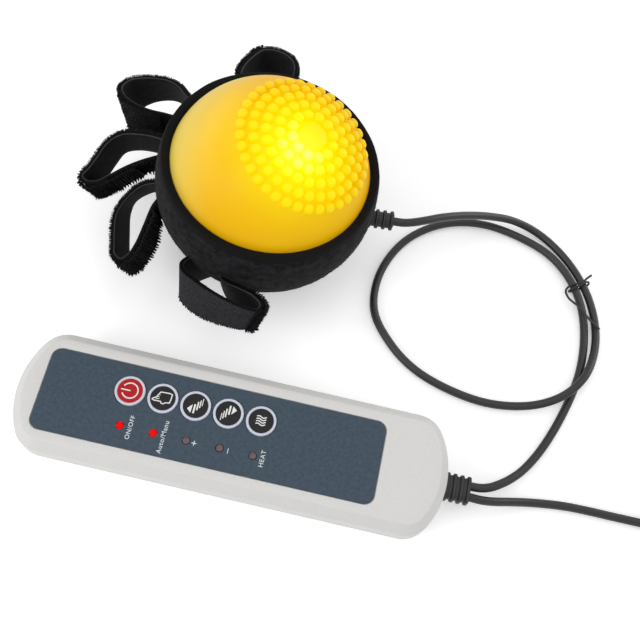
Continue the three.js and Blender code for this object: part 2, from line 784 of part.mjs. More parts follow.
function handsetTopCase() {
  const outer = handsetForm(0, partingHeight + fit / 2, handsetHeight);
  const inner = handsetForm(caseWall, -overrun, handsetHeight);
  const seat = overlaySeat - fit;
  const recess = roundedBlock(
    overlayLength + 2 * fit,
    overlayWidth + 2 * fit,
    overlayCorner + fit,
    seat,
    handsetHeight + overrun,
    cornerSteps,
  );
  const bossLow = partingHeight + fit / 2;
  const bossTop = handsetHeight - caseWall / 2;
  const bosses = caseScrewPlaces.map(([x, y]) =>
    place(cylinder(caseBossRadius, bossLow, bossTop, smallSides), x, y, 0),
  );
  const bores = caseScrewPlaces.map(([x, y]) =>
    place(cylinder(screwShankRadius + fit, 0, handsetHeight - 2 * caseWall, smallSides), x, y, 0),
  );
  const trimmed = bosses.map((boss) => boss.intersect(outer));
  const hollow = outer.subtract(inner);
  return inHandset(
    cut(
      join(hollow, ...trimmed),
      place(recess, overlayShift, 0, 0),
      ...faceHoles(handsetHeight / 2, handsetHeight + overrun),
      ...bores,
      reliefSlot(),
    ),
  );
}

function handsetBottomCase() {
  const outer = handsetForm(0, 0, partingHeight - fit / 2);
  const inner = handsetForm(caseWall, -overrun, handsetHeight);
  const bossTop = partingHeight - fit / 2;
  const bosses = caseScrewPlaces.map(([x, y]) =>
    place(cylinder(caseBossRadius, caseWall / 2, bossTop, smallSides), x, y, 0),
  );
  const bores = caseScrewPlaces.map(([x, y]) =>
    place(cylinder(screwShankRadius + fit, -overrun, handsetHeight, smallSides), x, y, 0),
  );
  const recesses = caseScrewPlaces.map(([x, y]) =>
    place(cylinder(screwHeadRadius + fit, -overrun, screwHeadHeight + fit, smallSides), x, y, 0),
  );
  const boardPosts = [-1, 1].flatMap((sx) =>
    [-1, 1].map((sy) => {
      const post = cylinder(caseBossRadius / 2, caseWall / 2, boardLevel - fit, smallSides);
      return place(post, sx * (boardLength / 2 - caseBossRadius), sy * (boardWidth / 2 - caseBossRadius), 0);
    }),
  );
  return inHandset(
    cut(join(outer.subtract(inner), ...bosses, ...boardPosts), ...bores, ...recesses, reliefSlot()),
  );
}

function caseScrew(index) {
  const [x, y] = caseScrewPlaces[index];
  const length = handsetHeight - 2 * caseWall - screwHeadHeight - overrun;
  const body = screw(length).rotate([180, 0, 0]);
  return inHandset(place(body, x, y, screwHeadHeight));
}

function controlOverlay() {
  const sheet = roundedBlock(
    overlayLength,
    overlayWidth,
    overlayCorner,
    overlaySeat,
    handsetHeight,
    cornerSteps,
  );
  const shifted = place(sheet, overlayShift, 0, 0);
  return inHandset(cut(shifted, ...faceHoles(0, handsetHeight + overrun)));
}

const switchTop = boardLevel + boardThickness + fit + switchBody + switchStem;

// A key: round cap with a raised rim, and the stem that presses the switch
function key(index) {
  const top = handsetHeight + keyProud;
  const under = handsetHeight - caseWall;
  const outline = [
    [0, switchTop + keyTravel + fit],
    [keyStemRadius, switchTop + keyTravel + fit],
    [keyStemRadius, under],
    [keyRadius, under],
    [keyRadius, top - fit],
    [keyRadius - fit, top],
    [0, top],
  ];
  return inHandset(place(turned(outline, roundSides), keyX(index), keyRowOffset, 0));
}

function tactSwitch(index) {
  const seat = boardLevel + boardThickness + fit;
  const body = block(switchSize, switchSize, seat, seat + switchBody);
  const stem = cylinder(switchStemRadius, seat + switchBody / 2, switchTop, smallSides);
  return inHandset(place(join(body, stem), keyX(index), keyRowOffset, 0));
}

function statusLed(index) {
  const seat = boardLevel + boardThickness + fit;
  return inHandset(place(lamp(ledRadius, handsetHeight - seat), keyX(index), -ledOffset, seat));
}

function circuitBoard() {
  return inHandset(block(boardLength, boardWidth, boardLevel, boardLevel + boardThickness));
}

// The ribbed block where both cords leave the handset, with its flange inside the case
function handsetStrainRelief() {
  const caseEnd = handsetLength / 2;
  const lie = (sizeY, sizeZ, fromX, toX) => {
    const slab = roundedBlock(sizeZ, sizeY, handReliefCorner, fromX, toX, 1).rotate([0, 90, 0]);
    return place(slab, 0, 0, partingHeight);
  };
  const neckWidth = handReliefWidth - 2 * ribDepth;
  const neckHeight = handReliefHeight - 2 * ribDepth;
  const start = caseEnd + fit;
  const pitch = (handReliefLength - fit) / (reliefRibs * 2 - 1);
  const inside = caseEnd - caseWall - undersideTaper;
  const parts = [
    lie(handReliefWidth, handReliefHeight, inside - caseWall, inside),
    lie(neckWidth, neckHeight, inside - caseWall / 2, caseEnd + handReliefLength),
  ];
  for (let rib = 0; rib < reliefRibs; rib += 1) {
    const from = start + 2 * rib * pitch;
    parts.push(lie(handReliefWidth, handReliefHeight, from, from + pitch));
  }
  return inHandset(join(...parts));
}

// Cords. Their routes are lists of places chosen by hand; they lie on the table a radius above it.
const ballCordRoute = [
  [58.2, 5, 30], [62.4, 5.4, 30], [66.8, 6.9, 29.7], [72, 9.8, 28.7], [80, 15.3, 25.8], [92, 23, 19.8],
  [104.5, 29.9, 12.7], [117.5, 34.3, 6.4], [130.5, 33, 2.6], [142.5, 25, 2.7], [152, 14.5, 3.3],
  [159.5, 2, 3.2], [164, -12, 2.2], [163.5, -26, 4], [159, -39.5, 6.5], [150, -50.5, 6.5], [137.5, -57, 4],
  [119, -59.9, 2], [99, -57.6, 2], [82, -51.5, 2], [69, -41.5, 2], [59.2, -27.5, 2], [58.4, -8, 2],
  [67.3, 12.4, 2], [84, 26.2, 2], [104, 31.2, 2], [127.5, 27, 2.2], [140, 20.5, 2.8], [149.8, 9.8, 3.3],
  [156, -2.5, 2.9], [159, -17.5, 2], [158.2, -36, 2], [152.5, -57.2, 2], [144.2, -76.4, 3.2],
  [136.7, -88, 5.4], [131.2, -93.8, 7.4], [126.8, -97.3, 8.6], [122.7, -99.8, 9.2], [118.5, -101.15, 9.5],
  [114.2, -101.5, 9.5],
];
const adapterCordRoute = [
  [114.2, -106.1, 9.5], [119.5, -106.2, 9.3], [125.5, -105.2, 8], [132, -103.3, 5.6], [139.5, -101.3, 3.3],
  [148, -99.7, 2.1], [158, -98.6, 2], [168, -98.3, 2], [178, -98.3, 2], [188, -98.3, 2.1],
  [198, -98.3, 2.4], [208, -98.3, 2.7], [216, -98.3, 2.8], [222, -98.3, 2.8],
];

// A tube of a few flat sides along a curve
function tube(curve, radius, sides, steps) {
  const section = new THREE.Shape(
    Array.from({ length: sides }, (_, i) => {
      const turn = (fullTurn * i) / sides;
      return new THREE.Vector2(radius * Math.cos(turn), radius * Math.sin(turn));
    }),
  );
  return solid(new THREE.ExtrudeGeometry(section, { steps, extrudePath: curve, bevelEnabled: false }));
}

const routeCurve = (points) => new THREE.CatmullRomCurve3(points.map((p) => new THREE.Vector3(...p)));
const ballCord = () => tube(routeCurve(ballCordRoute), cordRadius, cordSides, ballCordSteps);
const adapterCord = () => tube(routeCurve(adapterCordRoute), cordRadius, cordSides, adapterCordSteps);

// The stored coil: in along the lower layer and out again along the upper one, then straight to the plug
const windingPitch = 2 * cordRadius + windingGap;
const coilStart = new THREE.Vector3(...adapterCordRoute.at(-1));
const coilTurns = coilTurnsPerLayer * coilLayers + coilLastTurnShare;
const coilOuter = coilMeanRadius + (coilTurnsPerLayer * windingPitch) / 2;
const coilY = coilStart.y + coilOuter;

function coilPoint(turn) {
  const inLayer = Math.min(turn, 2 * coilTurnsPerLayer - turn);
  const radius = coilOuter - windingPitch * inLayer;
  const climbStart = coilTurnsPerLayer - climbTurns;
  const climb = THREE.MathUtils.smoothstep(turn, climbStart, climbStart + 2 * climbTurns);
  const rise = climb * windingPitch;
  const angle = fullTurn * turn - Math.PI / 2;
  return new THREE.Vector3(
    coilX + radius * Math.cos(angle),
    coilY + radius * Math.sin(angle),
    coilStart.z + rise,
  );
}

const plugLevel = plugRadius + fit;

function coilCentres(stepsPerTurn) {
  const points = [];
  points.push(new THREE.Vector3(coilStart.x + fit, coilStart.y, coilStart.z));
  const count = Math.round(coilTurns * stepsPerTurn);
  for (let i = 0; i <= count; i += 1) {
    points.push(coilPoint((i * coilTurns) / count));
  }
  const last = points.at(-1);
  for (const share of coilTailShares) {
    const drop = THREE.MathUtils.smoothstep(share, 0, 1);
    const z = last.z + (plugLevel - last.z) * drop;
    points.push(new THREE.Vector3(last.x, last.y + coilTail * share, z));
  }
  return points;
}

// Sweeps a ring of a few points along a list of centres, as one closed body
function sweep(centres, radius, sides) {
  const positions = [];
  centres.forEach((centre, i) => {
    const before = centres[Math.max(i - 1, 0)];
    const after = centres[Math.min(i + 1, centres.length - 1)];
    const along = after.clone().sub(before).setZ(0).normalize();
    const across = new THREE.Vector3(along.y, -along.x, 0);
    for (let k = 0; k < sides; k += 1) {
      const turn = (fullTurn * k) / sides;
      const point = centre.clone().addScaledVector(across, radius * Math.cos(turn));
      point.z += radius * Math.sin(turn);
      positions.push(...point.toArray());
    }
  });
  const faces = [];
  for (let i = 0; i < centres.length - 1; i += 1) {
    for (let k = 0; k < sides; k += 1) {
      const next = (k + 1) % sides;
      const a = i * sides;
      const b = a + sides;
      faces.push(a + k, b + k, b + next, a + k, b + next, a + next);
    }
  }
  const end = (centres.length - 1) * sides;
  for (let k = 1; k < sides - 1; k += 1) {
    faces.push(0, k, k + 1, end, end + k + 1, end + k);
  }
  const geometry = new THREE.BufferGeometry();
  geometry.setAttribute("position", new THREE.Float32BufferAttribute(positions, 3));
  geometry.setIndex(faces);
  return solid(geometry);
}

function leastGap(centres, radius, apart) {
  let least = Infinity;
  for (let i = 0; i < centres.length; i += 1) {
    for (let j = i + apart; j < centres.length; j += 1) {
      least = Math.min(least, centres[i].distanceTo(centres[j]) - 2 * radius);
    }
  }
  return least;
}

const coilMiddles = coilCentres(coilSteps);
const adapterCordCoil = () => sweep(coilMiddles, cordRadius, coilSides);
console.log("coil's least gap to itself, mm:", leastGap(coilMiddles, cordRadius, coilSteps / 2).toFixed(2));

// A flat tie round the coil's bundle of turns
function coilTie() {
  const inner = coilOuter - coilTurnsPerLayer * windingPitch - cordRadius - fit;
  const outer = coilOuter + cordRadius + fit;
  const low = coilStart.z - cordRadius - fit;
  const high = coilStart.z + windingPitch + cordRadius + fit;
  const around = block(outer - inner + 2 * tieThickness, tieWidth, low - tieThickness, high + tieThickness);
  const window = block(outer - inner, tieWidth + overrun, low, high);
  const ring = place(around.subtract(window), -(inner + outer) / 2, 0, 0);
  return place(ring, coilX, coilY, 0);
}

// Wire tie that holds the two strands of the ball's cord together, with its twisted tail
function cordTie() {
  const wire = routeCurve([
    [157.9, 14, 7.2], [155.6, 11.4, 7.3], [153.5, 8, 7.2], [151.2, 6.1, 6.6], [149.1, 5.1, 3.6],
    [150, 6, 0.9], [151.7, 7.1, 0.6], [155.5, 9.3, 0.6], [157.2, 10.3, 0.9], [158.1, 11, 3.3],
    [157, 10.7, 5.8], [155, 9.8, 6.3], [151.4, 8.2, 6.3], [148.8, 6.9, 5.6], [147.2, 4.3, 4.4],
    [148.8, 1, 4.2], [151.4, -1.6, 5.2], [154.4, -4, 6.3], [158.5, -8.2, 6.2], [162, -10.6, 5.6],
    [164.9, -12.3, 5.3],
  ]);
  return tube(wire, wireRadius, wireSides, wireSteps);
}

// The low-voltage plug: moulded grip and metal barrel
const plugX = coilMiddles.at(-1).x;
const plugY = coilY + coilTail + fit;
const alongPlug = (body) => place(body.rotate([-90, 0, 0]), plugX, plugY, plugLevel);

function plugBody() {
  const outline = [
    [0, 0],
    [cordRadius + fit, 0],
    [plugNoseRadius, plugNoseLength],
    [plugRadius, plugNoseLength + plugTaper],
    [plugRadius, plugLength],
    [barrelRadius + fit, plugLength],
    [barrelRadius + fit, plugLength - barrelRadius],
    [0, plugLength - barrelRadius],
  ];
  return alongPlug(turned(outline, plugSides));
}

function plugBarrel() {
  const root = plugLength - barrelRadius + fit;
  const tip = plugLength + barrelLength;
  const outline = [
    [0, root],
    [barrelRadius, root],
    [barrelRadius, tip],
    [barrelBore, tip],
    [barrelBore, root + barrelRadius],
    [0, root + barrelRadius],
  ];
  return alongPlug(turned(outline, barrelSides));
}

// Finishes, from the photo
const finish = (color, roughness, metalness = 0) =>
  new THREE.MeshStandardMaterial({ color, roughness, metalness });
const softYellow = new THREE.MeshStandardMaterial({ color: 0xf8cc18, roughness: 0.42, emissive: 0x6a4a00 });
const shellYellow = finish(0xe8c040, 0.5);
const caseWhite = finish(0xdcdad6, 0.45);
const overlayBlue = finish(0x46555f, 0.5);
const plushBlack = finish(0x17171a, 0.95);
const bindingBlack = finish(0x101012, 0.85);
const tapeBlack = finish(0x1c1c1f, 0.9);
const hookBlack = finish(0x0c0c0d, 0.8);
const cordBlack = finish(0x141415, 0.45);
const keyBlack = finish(0x26262a, 0.45);
const keyRed = finish(0xc81e26, 0.45);
const boardGreen = finish(0x1f6b3a, 0.5);
const steel = finish(0xb9bcc0, 0.3, 1);
const brass = finish(0xc9a252, 0.35, 1);
const copper = finish(0xb26a3c, 0.5, 0.6);
const lampWarm = finish(0xfff4b8, 0.2);
const lampRed = finish(0xff1010, 0.25);
const lampDark = finish(0x6a4a48, 0.3);
const platePlastic = finish(0xe6e4de, 0.6);

// The object
const massager = new THREE.Group();

function add(name, body, material) {
  const mesh = new THREE.Mesh(geometryOf(body), material);
  mesh.name = name;
  massager.add(mesh);
}

add("massage_dome", massageDome(), softYellow);
add("lower_shell", lowerShell(), shellYellow);
add("mounting_plate", mountingPlate(), platePlastic);
add("lamp_board", lampBoard(), boardGreen);
add("thermal_cutout", thermalCutout(), keyBlack);
add("heating_film", heatingFilm(), copper);
add("motor_can", motorCan(), steel);
add("motor_end_cap", motorEndCap(), platePlastic);
add("motor_shaft", motorShaft(), steel);
add("eccentric_weight", eccentricWeight(), brass);
for (let i = 0; i < lampCount; i += 1) {
  add("glow_lamp_" + (i + 1), glowLamp(i), lampWarm);
}
for (let i = 0; i < postCount; i += 1) {
  add("ball_screw_" + (i + 1), ballScrew(i), steel);
}
add("ball_strain_relief", ballStrainRelief(), cordBlack);
add("cover_cup", coverCup(), plushBlack);
add("rim_binding", rimBinding(), bindingBlack);
fingerLoops.forEach((finger, i) => {
  add("finger_strap_" + (i + 1), fingerStrap(finger), tapeBlack);
  add("finger_hook_" + (i + 1), fingerHook(finger), hookBlack);
});
add("handset_top_case", handsetTopCase(), caseWhite);
add("handset_bottom_case", handsetBottomCase(), caseWhite);
add("control_overlay", controlOverlay(), overlayBlue);
const keyNames = ["power_key", "mode_key", "plus_key", "minus_key", "heat_key"];
keyNames.forEach((name, i) => {
  add(name, key(i), i === 0 ? keyRed : keyBlack);
  add("tact_switch_" + (i + 1), tactSwitch(i), keyBlack);
  add("status_led_" + (i + 1), statusLed(i), i < 2 ? lampRed : lampDark);
});
add("handset_circuit_board", circuitBoard(), boardGreen);
caseScrewPlaces.forEach((_, i) => {
  add("case_screw_" + (i + 1), caseScrew(i), steel);
});
add("handset_strain_relief", handsetStrainRelief(), cordBlack);
add("ball_cord", ballCord(), cordBlack);
add("cord_tie", cordTie(), keyBlack);
add("adapter_cord", adapterCord(), cordBlack);
add("adapter_cord_coil", adapterCordCoil(), cordBlack);
add("coil_tie", coilTie(), keyBlack);
add("plug_body", plugBody(), cordBlack);
add("plug_barrel", plugBarrel(), steel);

export default massager;
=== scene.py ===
# A wired massage ball for hand and finger training and its control handset, dressed for a picture.
# Metres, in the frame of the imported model: the table is at z = 0, the ball stands over the origin.
import math
import random

import bmesh
import bpy
from mathutils import Matrix, Vector, noise


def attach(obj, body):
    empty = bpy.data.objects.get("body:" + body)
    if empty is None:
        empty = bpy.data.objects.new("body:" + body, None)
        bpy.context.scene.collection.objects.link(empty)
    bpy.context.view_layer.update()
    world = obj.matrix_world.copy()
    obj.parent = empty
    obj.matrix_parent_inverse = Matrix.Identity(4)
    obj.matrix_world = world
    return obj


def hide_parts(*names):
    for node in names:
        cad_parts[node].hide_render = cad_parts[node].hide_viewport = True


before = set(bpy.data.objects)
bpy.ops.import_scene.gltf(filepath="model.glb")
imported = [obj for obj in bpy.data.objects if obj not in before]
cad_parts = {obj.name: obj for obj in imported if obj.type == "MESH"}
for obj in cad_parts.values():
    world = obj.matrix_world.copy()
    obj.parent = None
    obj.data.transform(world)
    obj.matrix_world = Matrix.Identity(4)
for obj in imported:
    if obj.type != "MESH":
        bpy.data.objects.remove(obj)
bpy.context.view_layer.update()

# Camera
# The photograph looks down at the table, tilted a little away from straight down and rolled to the right.
camera_tilt = math.radians(23.35)
camera_roll = math.radians(13)
camera_data = bpy.data.cameras.new("camera")
camera_data.lens = 50
camera_data.sensor_width = 36
camera = bpy.data.objects.new("camera", camera_data)
camera.matrix_world = (
    Matrix.Translation((0.0356, -0.2015, 0.3795))
    @ Matrix.Rotation(camera_tilt, 4, "X")
    @ Matrix.Rotation(camera_roll, 4, "Z")
)
bpy.context.scene.collection.objects.link(camera)
bpy.context.scene.camera = camera


# Cords
# Two thin round cables with a soft black rubber jacket, each held by a strain relief where it enters. The
# ball's cord lies in one wide loop and ends in the handset. The adapter's cord leaves beside it, and its
# unseen length is wound in a coil past the right edge of the view, with a plug at its end.
def paint(colour):
    """A colour given as it shows on a screen, 0 to 255, in the linear values that shaders use."""
    shares = [value / 255 for value in colour]
    return [s / 12.92 if s < 0.04045 else ((s + 0.055) / 1.055) ** 2.4 for s in shares]


def wire(tree, node, sockets):
    """Gives each named socket of a node its value, or a link from another node's output."""
    for socket, value in sockets.items():
        if isinstance(value, bpy.types.NodeSocket):
            tree.links.new(value, node.inputs[socket])
        else:
            node.inputs[socket].default_value = value


def output_of(tree, kind, output, sockets, **settings):
    """Adds a shader node with these sockets and settings, and returns the named output."""
    node = tree.nodes.new("ShaderNode" + kind)
    for setting, value in settings.items():
        setattr(node, setting, value)
    wire(tree, node, sockets)
    return node.outputs[output]


def ramp(tree, share, steps):
    """A colour ramp over [position, colour] pairs, from low to high."""
    colours = output_of(tree, "ValToRGB", "Color", {"Fac": share})
    elements = colours.node.color_ramp.elements
    for element, (position, colour) in zip(elements, (steps[0], steps[-1])):
        element.position = position
        element.color = (*colour, 1)
    for position, colour in steps[1:-1]:
        elements.new(position).color = (*colour, 1)
    return colours


def mixed(tree, share, colour, other, blend="MIX"):
    return output_of(tree, "Mix", 2, {0: share, 6: colour, 7: other}, data_type="RGBA", blend_type=blend)


def surface(
    name, dark, light, grain, roughness, bump,
    rough_change=0.1, detail=6, specular=0.5, metallic=0, sockets={},
):
    """A material whose colour, roughness and relief vary in grains of the given size."""
    material = bpy.data.materials.new(name)
    material.use_nodes = True
    tree = material.node_tree
    place = output_of(tree, "TexCoord", "Object", {})
    grains = output_of(tree, "TexNoise", "Fac", {"Vector": place, "Scale": 1 / grain, "Detail": detail})
    rough_ends = {"To Min": roughness - rough_change / 2, "To Max": roughness + rough_change / 2}
    wire(tree, tree.nodes["Principled BSDF"], {
        "Base Color": ramp(tree, grains, [(0.35, paint(dark)), (0.65, paint(light))]),
        "Roughness": output_of(tree, "MapRange", "Result", {"Value": grains, **rough_ends}),
        "Normal": output_of(tree, "Bump", "Normal", {"Strength": 1, "Distance": bump, "Height": grains}),
        "Specular IOR Level": specular,
        "Metallic": metallic,
        **sockets,
    })
    return material


def spline_point(points, share):
    """The point at that share of a smooth line that passes through all the points."""
    span = share * (len(points) - 1)
    i = min(int(span), len(points) - 2)
    t = span - i
    b, c = points[i], points[i + 1]
    a = points[i - 1] if i > 0 else 2 * b - c
    d = points[i + 2] if i + 2 < len(points) else 2 * c - b
    ab, bc, cd = (max((q - p).length, 1e-9) ** 0.5 for p, q in ((a, b), (b, c), (c, d)))
    leave = ((b - a) / ab - (c - a) / (ab + bc) + (c - b) / bc) * bc
    arrive = ((c - b) / bc - (d - b) / (bc + cd) + (d - c) / cd) * bc
    cubic = 2 * b - 2 * c + leave + arrive
    square = 3 * c - 3 * b - 2 * leave - arrive
    return b + t * (leave + t * (square + t * cubic))


def smooth_line(route, steps):
    """A smooth line through the places of a route, in that many steps."""
    points = [Vector(place) for place in route]
    return [spline_point(points, i / steps) for i in range(steps + 1)]


def cord_curve(name, points, radius, material):
    """A round cord along the points, closed at both ends."""
    curve = bpy.data.curves.new(name, "CURVE")
    curve.dimensions = "3D"
    curve.bevel_depth = radius
    curve.bevel_resolution = 4
    curve.use_fill_caps = True
    spline = curve.splines.new("POLY")
    spline.points.add(len(points) - 1)
    for knot, point in zip(spline.points, points):
        knot.co = (*point, 1)
    spline.use_smooth = True
    curve.materials.append(material)
    cord = bpy.data.objects.new(name, curve)
    bpy.context.scene.collection.objects.link(cord)
    return cord


def run_length(points):
    """The length of a line through the points."""
    return sum((b - a).length for a, b in zip(points, points[1:]))


cord_radius = 0.0019
cord_black = surface("cord_jacket", (14, 14, 16), (30, 30, 33), 0.0006, 0.42, 0.00002)
ball_cord_route = [
    (0.0572, 0.0049, 0.03), (0.0624, 0.0054, 0.03), (0.0668, 0.0069, 0.0297), (0.072, 0.0098, 0.0287),
    (0.08, 0.0153, 0.0258), (0.092, 0.023, 0.0198), (0.1045, 0.0299, 0.0127), (0.1175, 0.0343, 0.0064),
    (0.1305, 0.033, 0.0026), (0.1425, 0.025, 0.0027), (0.152, 0.0145, 0.0033), (0.1595, 0.002, 0.0032),
    (0.164, -0.012, 0.0022), (0.1635, -0.026, 0.004), (0.159, -0.0395, 0.0065), (0.15, -0.0505, 0.0065),
    (0.1375, -0.057, 0.004), (0.119, -0.0599, 0.002), (0.099, -0.0576, 0.002), (0.082, -0.0515, 0.002),
    (0.069, -0.0415, 0.002), (0.0592, -0.0275, 0.002), (0.0584, -0.008, 0.002), (0.0673, 0.0124, 0.002),
    (0.084, 0.0262, 0.002), (0.104, 0.0312, 0.002), (0.1275, 0.027, 0.0022), (0.14, 0.0205, 0.0028),
    (0.1498, 0.0098, 0.0033), (0.156, -0.0025, 0.0029), (0.159, -0.0175, 0.002), (0.1582, -0.036, 0.002),
    (0.1525, -0.0572, 0.002), (0.1442, -0.0764, 0.0032), (0.1367, -0.088, 0.0054),
    (0.1312, -0.0938, 0.0074), (0.1268, -0.0973, 0.0086), (0.1227, -0.0998, 0.0092),
    (0.1185, -0.10115, 0.0095), (0.113, -0.1015, 0.0095),
]
ball_cord_line = smooth_line(ball_cord_route, 260)
ball_cord = cord_curve("ball_cord_jacket", ball_cord_line, cord_radius, cord_black)
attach(ball_cord, "root")
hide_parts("ball_cord")

adapter_cord_route = [
    (0.113, -0.1061, 0.0095), (0.1195, -0.1062, 0.0093), (0.1255, -0.1052, 0.008), (0.132, -0.1033, 0.0056),
    (0.1395, -0.1013, 0.0033), (0.148, -0.0997, 0.0021), (0.158, -0.0986, 0.002), (0.168, -0.0983, 0.002),
    (0.178, -0.0983, 0.002), (0.188, -0.0983, 0.0021), (0.198, -0.0983, 0.0024), (0.208, -0.0983, 0.0027),
    (0.216, -0.0983, 0.0028), (0.222, -0.0983, 0.0028),
]
coil_x = 0.226
coil_layer_turns = 4
coil_mean_radius = 0.021
coil_pitch = 0.00425
coil_outer = coil_mean_radius + coil_layer_turns * coil_pitch / 2
coil_y = -0.0983 + coil_outer
coil_z = 0.0028
coil_last_turn_share = 0.25
plug_z = 0.0053
coil_tail = 0.023
adapter_cord_line = smooth_line(adapter_cord_route, 90)
coil_turns = 2 * coil_layer_turns + coil_last_turn_share
coil_steps = round(coil_turns * 48)


def eased(share):
    """A share from 0 to 1 that starts and ends slowly."""
    return share * share * (3 - 2 * share)


for i in range(coil_steps + 1):
    turn = coil_turns * i / coil_steps
    in_layer = min(turn, 2 * coil_layer_turns - turn)
    climb = eased(min(max((turn - coil_layer_turns) * 2 + 0.5, 0), 1))
    angle = 2 * math.pi * turn - math.pi / 2
    radius = coil_outer - coil_pitch * in_layer
    middle = Vector((coil_x, coil_y, coil_z + climb * coil_pitch))
    adapter_cord_line.append(middle + Vector((radius * math.cos(angle), radius * math.sin(angle), 0)))
tail_start = adapter_cord_line[-1].copy()
tail_steps = 20
for i in range(1, tail_steps + 1):
    share = i / tail_steps
    z = tail_start.z + (plug_z - tail_start.z) * eased(share)
    adapter_cord_line.append(Vector((tail_start.x, tail_start.y + coil_tail * share, z)))
adapter_cord = cord_curve("adapter_cord_jacket", adapter_cord_line, cord_radius, cord_black)
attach(adapter_cord, "root")
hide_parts("adapter_cord", "adapter_cord_coil")

# Wire tie
# A thin steel wire in a black plastic sleeve. It is bent by hand round both strands of the ball's cord, and
# its two ends are left long.
tie_black = surface("wire_tie_sleeve", (12, 12, 13), (34, 34, 36), 0.0008, 0.55, 0.00003)
tie_route = [
    (0.1579, 0.014, 0.0072), (0.1556, 0.0114, 0.0073), (0.1535, 0.008, 0.0072), (0.1512, 0.0061, 0.0066),
    (0.1491, 0.0051, 0.0036), (0.15, 0.006, 0.0009), (0.1517, 0.0071, 0.0006), (0.1555, 0.0093, 0.0006),
    (0.1572, 0.0103, 0.0009), (0.1581, 0.011, 0.0033), (0.157, 0.0107, 0.0058), (0.155, 0.0098, 0.0063),
    (0.1514, 0.0082, 0.0063), (0.1488, 0.0069, 0.0056), (0.1472, 0.0043, 0.0044), (0.1488, 0.001, 0.0042),
    (0.1514, -0.0016, 0.0052), (0.1544, -0.004, 0.0063), (0.1585, -0.0082, 0.0062), (0.162, -0.0106, 0.0056),
    (0.1649, -0.0123, 0.0053),
]
tie_line = smooth_line(tie_route, 160)
tie_radius = 0.00052
cord_tie = cord_curve("wire_tie", tie_line, tie_radius, tie_black)
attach(cord_tie, "root")
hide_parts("cord_tie")

# Plug and coil tie
# A low-voltage plug with a moulded rubber body and a nickel-plated barrel, and the tie round the coil. They
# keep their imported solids, with the finishes of their materials.
plug_rubber = surface("plug_rubber", (16, 16, 17), (34, 34, 36), 0.0005, 0.5, 0.00002)
plug_metal = surface("plug_nickel", (176, 176, 178), (205, 205, 206), 0.002, 0.25, 0.000005, metallic=1)


def finish(node_name, material):
    """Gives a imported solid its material."""
    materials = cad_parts[node_name].data.materials
    materials.clear()
    materials.append(material)


for node_name, material in (("plug_body", plug_rubber), ("plug_barrel", plug_metal), ("coil_tie", tie_black)):
    finish(node_name, material)


# Massage dome
# A soft translucent yellow half ball of moulded elastomer, clamped on the hard lower shell and lit from
# inside. Rings of round-topped nubs stand about a smooth spot, in one piece with it.
def turned(bm, profile, sides):
    """Spins an outline of [radius, height] pairs about the upright axis, and returns the points it makes."""
    older = set(bm.verts)
    line = [bm.verts.new((radius, 0, height)) for radius, height in profile]
    edges = [bm.edges.new(pair) for pair in zip(line, line[1:])]
    bmesh.ops.spin(
        bm, geom=line + edges, cent=(0, 0, 0), axis=(0, 0, 1), dvec=(0, 0, 0), angle=2 * math.pi,
        steps=sides, use_merge=True, use_normal_flip=False, use_duplicate=False,
    )
    bmesh.ops.remove_doubles(bm, verts=[vert for vert in bm.verts if vert not in older], dist=1e-7)
    made = [vert for vert in bm.verts if vert not in older]
    for face in {face for vert in made for face in vert.link_faces}:
        face.smooth = True
    return made


def ball_arc(radius, start, end, steps):
    """Points of a ball's outline from one polar angle to another, as [radius, height] pairs."""
    angles = [start + (end - start) * i / steps for i in range(steps + 1)]
    return [(radius * math.sin(angle), radius * math.cos(angle)) for angle in angles]


def piece(name, bm, materials, sharp=None):
    """Turns a finished bmesh into an object in the scene."""
    bmesh.ops.recalc_face_normals(bm, faces=bm.faces)
    mesh = bpy.data.meshes.new(name)
    bm.to_mesh(mesh)
    bm.free()
    for material in materials:
        mesh.materials.append(material)
    if sharp:
        mesh.set_sharp_from_angle(angle=math.radians(sharp))
    made = bpy.data.objects.new(name, mesh)
    bpy.context.scene.collection.objects.link(made)
    return made


ball_radius = 0.0445
ball_z = 0.04733
dome_wall = 0.0028
split_depth = 0.003
nub_radius = 0.00225
nub_height = 0.0027
nub_rings = 5
first_ring_arc = 0.0089
ring_step_arc = 0.0049
nubs_per_ring_step = 6
nub_tilt = math.radians(22.2)
nub_azimuth = math.radians(-2)
ball_place = Matrix.Translation((0, 0, ball_z))

bm = bmesh.new()
foot = math.acos(-split_depth / ball_radius)
dome_profile = ball_arc(ball_radius, 0, foot, 72)
dome_profile += ball_arc(ball_radius - dome_wall, foot, 0, 48)
turned(bm, dome_profile, 144)
# Each bump's points keep their share of its height, which the dome's material uses to paint highlights on the
# nub tops.
tip_highlight_layer = bm.verts.layers.float.new("nub_share")
nub_outline_shares = [
    (1.14, -0.24), (1.04, 0.04), (1, 0.25), (0.985, 0.45), (0.93, 0.63), (0.8, 0.8), (0.6, 0.92),
    (0.32, 0.985), (0, 1),
]
nub_profile = [(nub_radius * r, nub_height * h) for r, h in nub_outline_shares]
spot_profile = [
    (0.0066, -0.0003), (0.0061, 0.0002), (0.0058, 0.0006), (0.0052, 0.00098), (0.0042, 0.0012),
    (0.0025, 0.0013), (0, 0.00134),
]
field = Matrix.Rotation(nub_azimuth, 4, "Z") @ Matrix.Rotation(nub_tilt, 4, "Y")


def points_of(items):
    """The points among some points, edges and faces."""
    return [item for item in items if isinstance(item, bmesh.types.BMVert)]


def raised_bump(profile, sides, tip_highlight_share):
    """Makes one rounded bump on the dome's top, gives its points their share of the painted tip highlight,
    and returns its points, edges and faces.
    """
    points = turned(bm, [(radius, ball_radius + height) for radius, height in profile], sides)
    for point in points:
        point[tip_highlight_layer] = max(point.co.z - ball_radius, 0) / profile[-1][1] * tip_highlight_share
    edges = {edge for point in points for edge in point.link_edges}
    faces = {face for point in points for face in point.link_faces}
    return points + list(edges) + list(faces)


